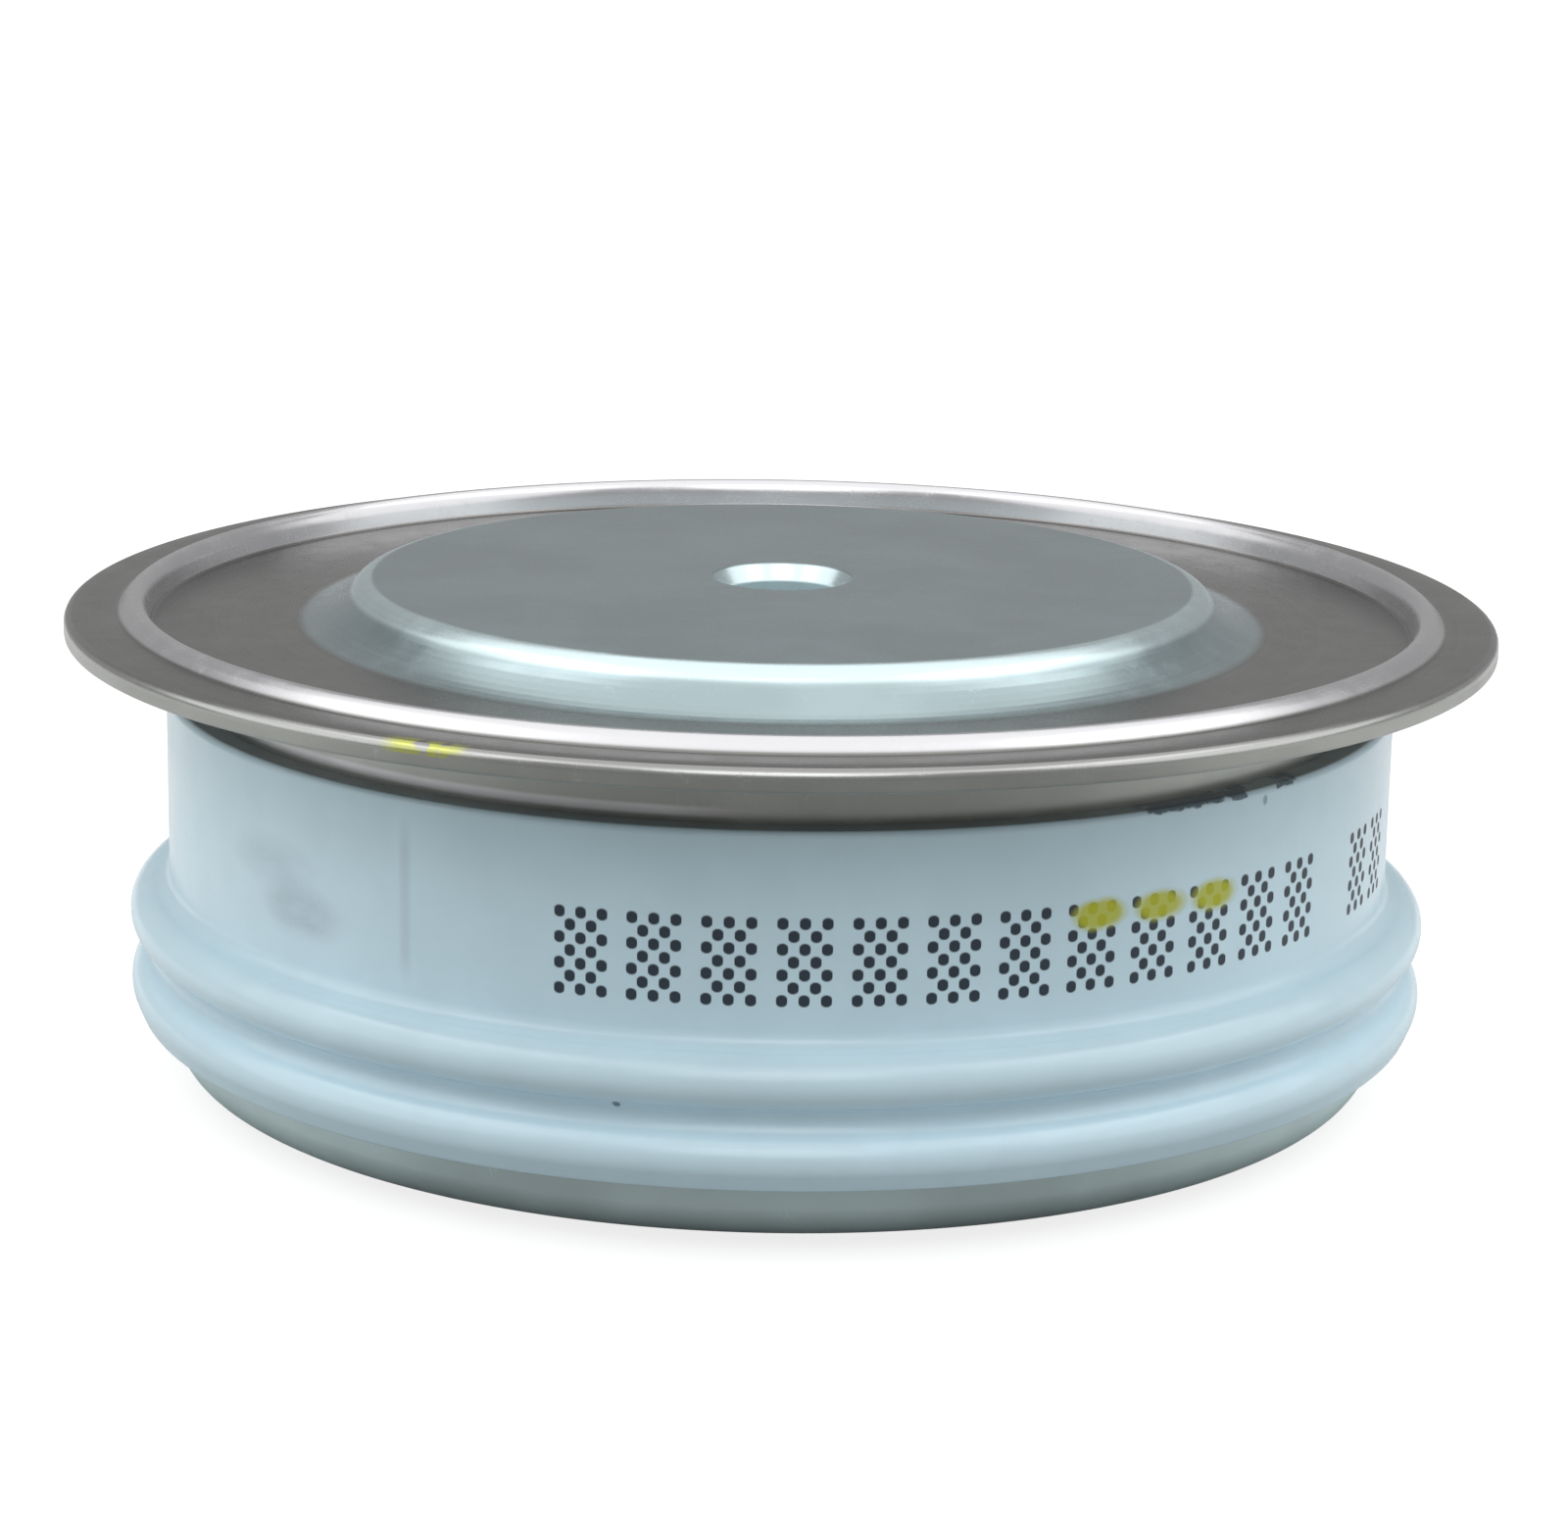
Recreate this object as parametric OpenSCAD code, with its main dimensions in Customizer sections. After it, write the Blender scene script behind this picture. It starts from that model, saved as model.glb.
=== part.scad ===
// Press-pack disc thyristor in a ceramic capsule, cathode side up.
// The origin is the centre of the anode contact face, and +Z points to the cathode contact face.
// The gate terminal leaves the ceramic towards +Y.

/* [Overall] */
// Distance between the two contact faces
total_h = 14.7; // [14.2:0.1:18]
// Outer diameter of the welded rim
rim_d = 42; // [41.6:0.1:46]

/* [Contact poles] */
// Diameter of the flat contact faces
contact_d = 24.1; // [23.6:0.1:24.6]
// Edge radius of the cathode contact
cathode_edge_r = 0.75; // [0.5:0.05:0.9]
// Edge radius of the anode contact
anode_edge_r = 0.25; // [0.1:0.05:0.4]
// Hollow radius of the cathode pole's flank
flank_r = 2; // [1.6:0.1:2.4]
// Height of the cathode contact over the lid's web
cathode_stand = 1.2; // [1:0.05:1.3]
// Height of the anode contact over the anode flange
anode_stand = 0.45; // [0.3:0.05:0.8]
// Diameter of the centring holes
centre_hole_d = 3.56; // [3:0.01:4]
// Depth of the centring holes
centre_hole_depth = 1.9; // [1.5:0.05:2]
// Chamfer at the mouth of the centring holes
centre_hole_chamfer = 0.3; // [0.1:0.05:0.4]
// Height of the anode pole
anode_pole_h = 4.6; // [4:0.1:5]
// Height of the step that carries the molybdenum disc
anode_step_h = 0.8; // [0.5:0.1:1.2]
// Reach of the cathode pole's body beyond its contact face
cathode_body_over = 0.55; // [0:0.05:0.8]
// Reach of the cathode pole's nose beyond the cathode disc
nose_over = 0.2; // [0:0.05:0.5]
// Height of the cathode pole's nose
nose_h = 2.1; // [1.9:0.05:2.4]
// Width of the ledge that the lid is brazed on
ledge_w = 1.1; // [0.6:0.05:1.3]
// Thickness of that ledge
ledge_t = 0.8; // [0.5:0.05:0.9]

/* [Lid] */
// Sheet thickness of the lid
lid_t = 0.3; // [0.25:0.05:0.35]
// Depth of the rim's top below the cathode contact
rim_drop = 0.75; // [0.65:0.05:0.9]
// Distance from the rim's edge to the ridge's crest
ridge_inset = 2; // [1.8:0.05:2.3]
// Height of the ridge over the rim
ridge_h = 0.33; // [0.2:0.01:0.4]
// Slope of the ridge's inner flank
ridge_in_slope = 80; // [65:1:85]
// Slope of the ridge's outer flank
ridge_out_slope = 45; // [35:1:55]
// Inside radius of the lid's bends
lid_bend_r = 0.1; // [0.05:0.01:0.15]
// Edge radius of the welded rim
rim_edge_r = 0.25; // [0.1:0.01:0.25]

/* [Weld ring] */
// Sheet thickness of the weld ring
weld_t = 0.35; // [0.25:0.05:0.4]
// Distance from the ceramic's neck to the corner where its collar starts
weld_foot_inset = 0.7; // [0.5:0.05:0.9]
// Distance from the ceramic's bore to the inner edge of its foot
weld_foot_start = 0.5; // [0.4:0.05:1]
// Depth of its steep collar's top below the lid's web
weld_collar_drop = 0.85; // [0.8:0.05:1.05]
// Reach of the collar's top beyond its foot
weld_collar_run = 0.05; // [0.02:0.01:0.2]
// Width of its flat rim
weld_rim_w = 0.8; // [0.5:0.05:1]
// Height of the flat rim over the foot
weld_h = 1.7; // [1.5:0.05:1.9]
// Inside radius of its bends
weld_bend_r = 0.05; // [0.03:0.01:0.15]

/* [Ceramic ring] */
// Wall of the ceramic at its plain neck
ceramic_w = 3.1; // [2.8:0.05:3.4]
// Edge radius at the top of the neck
neck_edge_r = 0.2; // [0.1:0.05:0.3]
// Number of creepage ribs
rib_n = 2; // [1:1:2]
// Reach of the ribs beyond the neck
rib_reach = 1.15; // [0.9:0.05:1.35]
// Depth of the groove between the ribs
rib_depth = 0.65; // [0.5:0.05:0.7]
// Distance from rib to rib
rib_pitch = 2.1; // [2:0.05:2.3]
// Crest radius of the ribs
rib_crest_r = 0.75; // [0.6:0.05:0.8]
// Height of the lowest crest over the ceramic's base
rib_base_h = 0.75; // [0.7:0.05:0.9]
// Slope under the lowest rib
rib_foot_slope = 68; // [55:1:75]
// Hollow radius between the top rib and the neck
shoulder_r = 0.45; // [0.3:0.05:0.8]

/* [Anode flange] */
// Sheet thickness of the anode flange
flange_t = 0.5; // [0.4:0.05:0.6]
// Distance from the ceramic's neck to the outside of the anode flange
flange_inset = 0.1; // [0:0.05:0.4]
// Height of the anode flange
flange_h = 1.75; // [1.5:0.05:2]
// Inside radius of its bend
flange_bend_r = 0.4; // [0.2:0.05:0.5]

/* [Contact stack] */
// Thickness of the silver shims
shim_t = 0.1; // [0.05:0.01:0.15]
// Thickness of the anode molybdenum disc
anode_disc_t = 1.5; // [1.2:0.1:1.8]
// Distance from the edge of the anode contact to the edge of the anode disc
anode_disc_inset = 0.1; // [0.05:0.05:0.4]
// Thickness of the silicon wafer
wafer_t = 0.35; // [0.3:0.05:0.45]
// Width of the bevel on the wafer's edge
wafer_bevel = 0.25; // [0.1:0.05:0.35]
// Thickness of the cathode molybdenum disc
cathode_disc_t = 1; // [0.8:0.1:1.2]
// Distance from the edge of the anode disc to the edge of the cathode disc
cathode_disc_inset = 1.95; // [1.6:0.05:2.4]
// Width of the rubber edge seal outside the wafer
seal_w = 1.35; // [1:0.05:1.4]
// Reach of the edge seal over the wafer's face
seal_lip = 0.7; // [0.5:0.05:0.8]
// Height of the edge seal over the wafer
seal_top = 0.35; // [0.2:0.05:0.5]
// Reach of the edge seal down the anode disc
seal_skirt = 0.5; // [0.3:0.05:0.6]
// Radial clearance between loose parts of the stack
stack_gap = 0.1; // [0.05:0.01:0.15]
// Wall of the centring ring beside the edge seal
centring_w = 1.5; // [1.2:0.05:1.8]
// Clearance over the centring ring, under the gate lead
centring_gap = 0.35; // [0.2:0.05:0.5]

/* [Gate] */
// Diameter of the gate terminal's free end
gate_d = 1.47; // [1.2:0.01:1.6]
// Free length of the gate terminal from the ferrule
gate_len = 4.3; // [3:0.05:6]
// Diameter of the gate terminal's stem through the ceramic
gate_stem_d = 1.1; // [1:0.01:1.15]
// Length of the stem inside the ceramic's bore
gate_inner_len = 0.8; // [0.5:0.05:1]
// Length of the closed tip of the gate terminal
gate_tip_len = 1; // [0.6:0.1:1.5]
// Diameter of the ferrule round the stem
ferrule_d = 3.4; // [3:0.1:4]
// Thickness of the ferrule
ferrule_t = 0.6; // [0.4:0.05:0.8]
// Depth of the flat that the ferrule sits on
spot_depth = 0.15; // [0.13:0.01:0.25]
// Height of the gate lead's axis over the cathode pole's nose
lead_rise = 0.95; // [0.9:0.01:1.1]
// Diameter of the gate lead
lead_d = 0.6; // [0.4:0.05:0.7]
// Wall of the insulating sleeve on the gate lead
sleeve_t = 0.3; // [0.2:0.05:0.35]
// Length of the gate lead inside the gate terminal
lead_hold = 2; // [1:0.1:3]
// Diameter of the gate pocket in the cathode pole
pocket_d = 4.8; // [4.5:0.1:4.8]
// Depth of the gate pocket
pocket_depth = 3.75; // [3.5:0.05:3.9]
// Wall of the insulating cup in the pocket
cup_t = 0.5; // [0.3:0.05:0.6]
// Height of the insulating cup
cup_h = 1.7; // [1.5:0.05:1.8]
// Diameter of the gate pin's shank
pin_d = 1; // [0.8:0.05:1.2]
// Diameter of the gate pin's head
pin_head_d = 3; // [2.8:0.1:3.2]
// Thickness of the gate pin's head
pin_head_t = 0.35; // [0.3:0.05:0.4]
// Wire diameter of the gate spring
spring_wire_d = 0.3; // [0.2:0.05:0.35]
// Mean diameter of the gate spring
spring_d = 2.3; // [2:0.05:2.4]
// Turns of the gate spring
spring_turns = 3.5; // [2:0.5:4]
// Clearance of what is pushed into a bore
fit_gap = 0.05; // [0.02:0.01:0.1]

/* [Hidden] */
$fn = 96;
ARC_STEPS = 10;
EPS = 0.01;

// Radii of the contact stack, from the contact face outwards
contact_r = contact_d / 2;
anode_boss_r = contact_r + anode_edge_r;
anode_disc_r = contact_r - anode_disc_inset;
seal_r = anode_disc_r + seal_w;
anode_body_r = seal_r + stack_gap;
cathode_disc_r = anode_disc_r - cathode_disc_inset;
nose_r = cathode_disc_r + nose_over;
cathode_body_r = contact_r + cathode_body_over;

// Radii of the capsule round the stack
bore_r = anode_body_r + centring_w + stack_gap;
neck_r = bore_r + ceramic_w;
rib_r = neck_r + rib_reach;
flange_r = neck_r - flange_inset;
rim_r = rim_d / 2;

// Heights of the stack, from the anode contact upwards
anode_shoulder_z = anode_stand + flange_t;
anode_step_z = anode_pole_h - anode_step_h;
anode_disc_z = anode_pole_h + shim_t;
wafer_z = anode_disc_z + anode_disc_t;
wafer_top_z = wafer_z + wafer_t;
cathode_shim_z = wafer_top_z + cathode_disc_t;
nose_z = cathode_shim_z + shim_t;
pocket_top_z = nose_z + pocket_depth;
gate_z = nose_z + lead_rise;

// Heights of the capsule, from the cathode contact downwards
web_z = total_h - cathode_stand;
lid_seat_z = web_z - lid_t;
rim_top_z = total_h - rim_drop;
seam_z = rim_top_z - lid_t;
weld_rim_z = seam_z - weld_t;
ceramic_top_z = weld_rim_z - weld_h;
ceramic_z = anode_stand + flange_h;

// The cathode pole's flank: a rounded edge runs into a hollow that ends level with the web
flank_turn = acos(1 - cathode_stand / (cathode_edge_r + flank_r));
flank_foot_r = contact_r + (cathode_edge_r + flank_r) * sin(flank_turn);

// The ribs: each crest arc runs smoothly into the hollow arc beside it
groove_r = (rib_depth * rib_depth + rib_pitch * rib_pitch / 4) / (2 * rib_depth) - rib_crest_r;
crest_axis_r = rib_r - rib_crest_r;
groove_axis_r = rib_r - rib_depth + groove_r;
groove_turn = atan2(rib_pitch / 2, groove_axis_r - crest_axis_r);
shoulder_run = neck_r + shoulder_r - crest_axis_r;
shoulder_rise = sqrt(pow(rib_crest_r + shoulder_r, 2) - pow(shoulder_run, 2));
shoulder_turn = atan2(shoulder_rise, shoulder_run);

// The insides of the gate
lead_r = lead_d / 2;
sleeve_r = lead_r + fit_gap + sleeve_t;
slot_w = 2 * (sleeve_r + fit_gap);
slot_h = lead_rise + sleeve_r + fit_gap;
pocket_r = pocket_d / 2;
cup_r = pocket_r - fit_gap;
window_r = pocket_r + stack_gap;
pin_head_z = gate_z + lead_r + fit_gap;
bush_h = gate_z - sleeve_r - fit_gap - wafer_top_z;
spring_z = pin_head_z + pin_head_t;
spring_top_z = pocket_top_z - cup_t;
spot_y = neck_r - spot_depth;
terminal_y = bore_r - gate_inner_len;
stem_end_y = spot_y + ferrule_t;
tip_y = stem_end_y + gate_len;
lead_end_y = terminal_y + lead_hold;

// Points of an arc about c, from one angle to another
function arc(c, r, from, to) =
    [for (i = [0:ARC_STEPS]) let(a = from + (to - from) * i / ARC_STEPS) c + r * [cos(a), sin(a)]];

// Folded sheet: a path of corners is one face of the sheet, and the other face lies t to its left
function unit(v) = v / norm(v);
function left(v) = [-v.y, v.x];
function turn(a, b, c) = cross(b - a, c - b) > 0 ? 1 : -1;
function shifted(a, b, c, t) =
    let(m = left(unit(b - a)), n = left(unit(c - b))) b + t * (m + n) / (1 + m * n);
function bend(a, b, c, r) =
    let(
        u = unit(a - b),
        v = unit(c - b),
        half = acos(u * v) / 2,
        centre = b + unit(u + v) * r / sin(half),
        start = b + u * r / tan(half) - centre,
        from = atan2(start.y, start.x),
        sweep = (180 - 2 * half) * turn(a, b, c)
    )
    arc(centre, r, from, from + sweep);
function face(path, r_left, r_right) = [
    path[0],
    for (i = [1:len(path) - 2])
        each bend(path[i - 1], path[i], path[i + 1],
            turn(path[i - 1], path[i], path[i + 1]) > 0 ? r_left : r_right),
    path[len(path) - 1]
];
function other_path(path, t) =
    let(n = len(path) - 1)
    [
        path[0] + t * left(unit(path[1] - path[0])),
        for (i = [1:n - 1]) shifted(path[i - 1], path[i], path[i + 1], t),
        path[n] + t * left(unit(path[n] - path[n - 1]))
    ];
function reversed(list) = [for (i = [len(list) - 1:-1:0]) list[i]];
function sheet(path, t, r) =
    let(r_left = r + max(t, 0), r_right = r + max(-t, 0))
    concat(face(path, r_left, r_right), reversed(face(other_path(path, t), r_right, r_left)));

// Outlines of the turned and formed parts, as radius and height
function anode_pole_outline() = concat(
    [[0, 0]],
    arc([contact_r, anode_edge_r], anode_edge_r, -90, 0),
    [
        [anode_boss_r, anode_shoulder_z],
        [anode_body_r, anode_shoulder_z],
        [anode_body_r, anode_step_z],
        [anode_disc_r, anode_step_z],
        [anode_disc_r, anode_pole_h],
        [0, anode_pole_h]
    ]
);

function cathode_pole_outline() =
    let(
        edge = [contact_r, total_h - cathode_edge_r],
        hollow = [flank_foot_r, web_z + flank_r]
    )
    concat(
        [
            [0, nose_z],
            [nose_r, nose_z],
            [nose_r, nose_z + nose_h],
            [cathode_body_r, nose_z + nose_h],
            [cathode_body_r, lid_seat_z - ledge_t],
            [flank_foot_r + ledge_w, lid_seat_z - ledge_t],
            [flank_foot_r + ledge_w, lid_seat_z],
            [flank_foot_r, lid_seat_z]
        ],
        arc(hollow, flank_r, -90, -90 - flank_turn),
        arc(edge, cathode_edge_r, 90 - flank_turn, 90),
        [[0, total_h]]
    );

function crest(i) = [crest_axis_r, ceramic_z + rib_base_h + i * rib_pitch];
function ceramic_outline() =
    let(
        foot = crest(0) + rib_crest_r * [sin(rib_foot_slope), -cos(rib_foot_slope)],
        last = rib_n - 1,
        shoulder = crest(last) + [shoulder_run, shoulder_rise],
        neck_edge = [neck_r - neck_edge_r, ceramic_top_z - neck_edge_r]
    )
    concat(
        [
            [bore_r, ceramic_z],
            [foot.x - (foot.y - ceramic_z) / tan(rib_foot_slope), ceramic_z]
        ],
        [
            for (i = [0:last])
                each concat(
                    arc(crest(i), rib_crest_r, i == 0 ? rib_foot_slope - 90 : -groove_turn,
                        i == last ? shoulder_turn : groove_turn),
                    i == last ? [] : arc([groove_axis_r, crest(i).y + rib_pitch / 2], groove_r,
                        180 + groove_turn, 180 - groove_turn)
                )
        ],
        arc(shoulder, shoulder_r, 180 + shoulder_turn, 180),
        arc(neck_edge, neck_edge_r, 0, 90),
        [[bore_r, ceramic_top_z]]
    );

// Upper face of the lid: web, ridge, rim
function lid_path() =
    let(
        mean = (ridge_in_slope + ridge_out_slope) / 2,
        lean = (ridge_in_slope - ridge_out_slope) / 2,
        crest_r = lid_bend_r + lid_t,
        centre = [rim_r - ridge_inset, rim_top_z + ridge_h - crest_r],
        peak = centre + crest_r / cos(mean) * [-sin(lean), cos(lean)]
    )
    [
        [flank_foot_r + fit_gap, web_z],
        [peak.x - (peak.y - web_z) / tan(ridge_in_slope), web_z],
        peak,
        [peak.x + (peak.y - rim_top_z) / tan(ridge_out_slope), rim_top_z],
        [rim_r, rim_top_z]
    ];

// Lower face of the weld ring: foot, collar, cone, rim
function weld_path() =
    let(collar_r = neck_r - weld_foot_inset)
    [
        [bore_r + weld_foot_start, ceramic_top_z],
        [collar_r, ceramic_top_z],
        [collar_r + weld_collar_run, lid_seat_z - weld_collar_drop],
        [rim_r - weld_rim_w, weld_rim_z],
        [rim_r, weld_rim_z]
    ];

// Outer face of the anode flange: floor and skirt
function flange_path() = [
    [anode_boss_r + fit_gap, anode_stand],
    [flange_r, anode_stand],
    [flange_r, ceramic_z]
];

function centring_outline() =
    let(
        low_r = anode_disc_r + stack_gap,
        high_r = seal_r + stack_gap,
        outer_r = bore_r - stack_gap,
        lip_z = wafer_z - seal_skirt - stack_gap,
        top_z = gate_z - sleeve_r - centring_gap
    )
    [
        [low_r, anode_step_z],
        [outer_r, anode_step_z],
        [outer_r, top_z],
        [high_r, top_z],
        [high_r, lip_z],
        [low_r, lip_z]
    ];

function seal_outline() =
    let(
        face_r = anode_disc_r - wafer_bevel,
        top_z = wafer_top_z + seal_top,
        side_z = wafer_z - seal_skirt
    )
    [
        [anode_disc_r, side_z],
        [seal_r, side_z],
        [seal_r, wafer_top_z],
        [seal_r - seal_top, top_z],
        [face_r - seal_lip + seal_top, top_z],
        [face_r - seal_lip, wafer_top_z],
        [face_r, wafer_top_z],
        [anode_disc_r, wafer_z]
    ];

// Round bar or tube along +Y at the height of the gate lead
module gate_bar(d, from, to) {
    translate([0, from, gate_z])
        rotate([-90, 0, 0])
            cylinder(d = d, h = to - from);
}

module disc(r, z, t, hole_r = 0) {
    translate([0, 0, z])
        difference() {
            cylinder(r = r, h = t);
            if (hole_r > 0)
                translate([0, 0, -EPS])
                    cylinder(r = hole_r, h = t + 2 * EPS);
        }
}

// Blind hole into a contact face at z = 0, chamfered at its mouth
module centre_hole() {
    translate([0, 0, -EPS])
        cylinder(d = centre_hole_d, h = centre_hole_depth + EPS);
    translate([0, 0, -EPS])
        cylinder(
            d1 = centre_hole_d + 2 * (centre_hole_chamfer + EPS),
            d2 = centre_hole_d,
            h = centre_hole_chamfer + EPS
        );
}

module anode_pole() {
    color("#b9bcbc")
        difference() {
            rotate_extrude()
                polygon(anode_pole_outline());
            centre_hole();
        }
}

module anode_flange() {
    color("#8d9393")
        rotate_extrude()
            polygon(sheet(flange_path(), flange_t, flange_bend_r));
}

module ceramic_ring() {
    color("#dbeaf0")
        difference() {
            rotate_extrude()
                polygon(ceramic_outline());
            gate_bar(gate_stem_d + 2 * fit_gap, 0, rim_r);
            gate_bar(ferrule_d + 2 * fit_gap, spot_y, rim_r);
        }
}

module weld_ring() {
    color("#858884")
        rotate_extrude()
            polygon(sheet(weld_path(), weld_t, weld_bend_r));
}

// The lid's rim keeps its rounded upper edge outside the sheet's outline
module cathode_lid() {
    color("#9a9c9b")
        rotate_extrude()
            difference() {
                polygon(sheet(lid_path(), -lid_t, lid_bend_r));
                polygon(concat(
                    [[rim_r + EPS, rim_top_z + EPS]],
                    [[rim_r - rim_edge_r, rim_top_z + EPS]],
                    reversed(arc([rim_r - rim_edge_r, rim_top_z - rim_edge_r], rim_edge_r, 0, 90)),
                    [[rim_r + EPS, rim_top_z - rim_edge_r]]
                ));
            }
}

module cathode_pole() {
    color("#a4adae")
        difference() {
            rotate_extrude()
                polygon(cathode_pole_outline());
            translate([0, 0, total_h])
                mirror([0, 0, 1])
                    centre_hole();
            translate([0, 0, nose_z - EPS])
                cylinder(d = pocket_d, h = pocket_depth + EPS);
            translate([-slot_w / 2, 0, nose_z - EPS])
                cube([slot_w, nose_r + EPS, slot_h + EPS]);
        }
}

module anode_shim() {
    color("#e8e8e6")
        disc(anode_disc_r, anode_pole_h, shim_t);
}

module anode_disc() {
    color("#6e7072")
        disc(anode_disc_r, anode_disc_z, anode_disc_t);
}

module silicon_wafer() {
    color("#3d4552")
        translate([0, 0, wafer_z])
            cylinder(r1 = anode_disc_r, r2 = anode_disc_r - wafer_bevel, h = wafer_t);
}

module edge_seal() {
    color("#c9553f")
        rotate_extrude()
            polygon(seal_outline());
}

module centring_ring() {
    color("#f2f2ee")
        rotate_extrude()
            polygon(centring_outline());
}

module cathode_disc() {
    color("#6e7072")
        disc(cathode_disc_r, wafer_top_z, cathode_disc_t, window_r);
}

module cathode_shim() {
    color("#e8e8e6")
        disc(cathode_disc_r, cathode_shim_z, shim_t, window_r);
}

module gate_guide_bush() {
    color("#f2f2ee")
        disc(cup_r, wafer_top_z, bush_h, pin_d / 2 + fit_gap);
}

module gate_pin() {
    color("#d9c27a") {
        disc(pin_d / 2, wafer_top_z, pin_head_z - wafer_top_z + EPS);
        disc(pin_head_d / 2, pin_head_z, pin_head_t);
    }
}

// One ring of the spring wire for each station along its helix
module gate_spring() {
    sides = 8;
    stations = 24 * spring_turns;
    wire_r = spring_wire_d / 2;
    rise = spring_top_z - spring_z - spring_wire_d - 2 * EPS;
    points = [
        for (s = [0:stations])
            let(a = 360 * spring_turns * s / stations, z = spring_z + wire_r + EPS + rise * s / stations)
            for (k = [0:sides - 1])
                let(b = 360 * k / sides, r = spring_d / 2 + wire_r * cos(b))
                [r * cos(a), r * sin(a), z + wire_r * sin(b)]
    ];
    walls = [
        for (s = [0:stations - 1])
            for (k = [0:sides - 1])
                let(here = s * sides, next = here + sides, m = (k + 1) % sides)
                [here + k, here + m, next + m, next + k]
    ];
    color("#c0c4c8")
        polyhedron(points, concat(
            [[for (k = [sides - 1:-1:0]) k]],
            walls,
            [[for (k = [0:sides - 1]) stations * sides + k]]
        ));
}

module gate_insulating_cup() {
    color("#f2f2ee")
        difference() {
            disc(cup_r, pocket_top_z - cup_h, cup_h);
            disc(cup_r - cup_t, pocket_top_z - cup_h - EPS, cup_h - cup_t + EPS);
        }
}

module gate_lead() {
    color("#dfe1e2")
        gate_bar(lead_d, pin_d / 2, lead_end_y);
}

module gate_lead_sleeve() {
    color("#e9e6da")
        difference() {
            gate_bar(2 * sleeve_r, pin_head_d / 2 + fit_gap, terminal_y - sleeve_t);
            gate_bar(lead_d + 2 * fit_gap, 0, rim_r);
        }
}

// A thin stem through the ceramic carries the thicker free end, which seats on the ferrule
module gate_terminal() {
    color("#c3b27c")
        difference() {
            union() {
                gate_bar(gate_stem_d, terminal_y, stem_end_y + EPS);
                gate_bar(gate_d, stem_end_y, tip_y);
            }
            gate_bar(lead_d + 2 * fit_gap, 0, tip_y - gate_tip_len);
        }
}

module gate_ferrule() {
    color("#9a9c9b")
        difference() {
            gate_bar(ferrule_d, spot_y, stem_end_y);
            gate_bar(gate_stem_d + 2 * fit_gap, 0, rim_r);
        }
}

anode_pole();
anode_flange();
ceramic_ring();
weld_ring();
cathode_lid();
cathode_pole();
anode_shim();
anode_disc();
silicon_wafer();
edge_seal();
centring_ring();
cathode_disc();
cathode_shim();
gate_guide_bush();
gate_pin();
gate_spring();
gate_insulating_cup();
gate_lead();
gate_lead_sleeve();
gate_terminal();
gate_ferrule();
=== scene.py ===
"""Press-pack disc thyristor: turned and formed pieces, their finishes and a plain studio round the model.

Lengths are metres in the model's own frame. The origin is the centre of the anode contact face, +Z points
to the cathode contact face, and +Y points along the gate terminal.
"""

from math import ceil, cos, pi, radians, sin, sqrt, tan

import bmesh
import bpy
from bpy.props import FloatProperty, FloatVectorProperty, IntProperty, PointerProperty
from mathutils import Matrix, Vector


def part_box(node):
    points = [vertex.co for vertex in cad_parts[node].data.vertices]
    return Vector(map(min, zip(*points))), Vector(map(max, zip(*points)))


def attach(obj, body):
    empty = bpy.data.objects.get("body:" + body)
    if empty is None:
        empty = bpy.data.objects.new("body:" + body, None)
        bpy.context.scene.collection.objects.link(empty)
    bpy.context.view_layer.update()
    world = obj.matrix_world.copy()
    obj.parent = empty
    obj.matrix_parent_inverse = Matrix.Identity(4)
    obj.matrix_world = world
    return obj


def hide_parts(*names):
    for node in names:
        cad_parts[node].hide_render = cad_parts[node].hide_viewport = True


bl_info = {
    "name": "Disc Thyristor",
    "version": (1, 0, 0),
    "blender": (4, 5, 0),
    "location": "View3D > Sidebar > Thyristor",
    "description": "Builds the finished pieces and the studio of a press-pack disc thyristor",
    "category": "Add Mesh",
}

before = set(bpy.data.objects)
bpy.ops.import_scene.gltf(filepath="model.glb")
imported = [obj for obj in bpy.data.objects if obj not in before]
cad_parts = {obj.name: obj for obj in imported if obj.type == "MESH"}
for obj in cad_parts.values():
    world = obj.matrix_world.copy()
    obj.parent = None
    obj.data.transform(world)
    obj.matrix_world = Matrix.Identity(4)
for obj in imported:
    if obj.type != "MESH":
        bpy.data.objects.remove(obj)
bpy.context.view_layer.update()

SAME_POINT = 1e-7  # points closer than this are one
SAME_RING = 2e-6  # the points of one ring of edges lie this close to its radius and height
ARC_STEP = radians(7)  # turn of one facet along a rounded corner
SHARP = radians(30)  # edges that turn more than this stay crisp
HOLD = 0.00003  # distance from a corner to the vertex that keeps the flat beside it flat
HELD_RUN = 5 * HOLD  # shortest straight run that gets such vertices
FLOOR_REACH = 2.5  # half the width of the floor
MILLIMETRES = 1000.0
PRINT_PITCH = 1.96  # millimetres from one field of the print to the next
WHITE = (1.0, 1.0, 1.0)


def low(node):
    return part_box(node)[0]


def high(node):
    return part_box(node)[1]


# Settings


def length(name, default, description):
    return FloatProperty(
        name=name, description=description, default=default, min=0.0, precision=6, unit="LENGTH"
    )


def angle(name, degrees, description):
    return FloatProperty(name=name, description=description, default=radians(degrees), unit="ROTATION")


def amount(name, default, description):
    return FloatProperty(name=name, description=description, default=default, min=0.0)


def colour(name, default, description):
    return FloatVectorProperty(
        name=name, description=description, default=default, size=3, min=0.0, max=1.0, subtype="COLOR"
    )


def spot(name, default, description):
    return FloatVectorProperty(name=name, description=description, default=default, size=3, unit="LENGTH")


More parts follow.
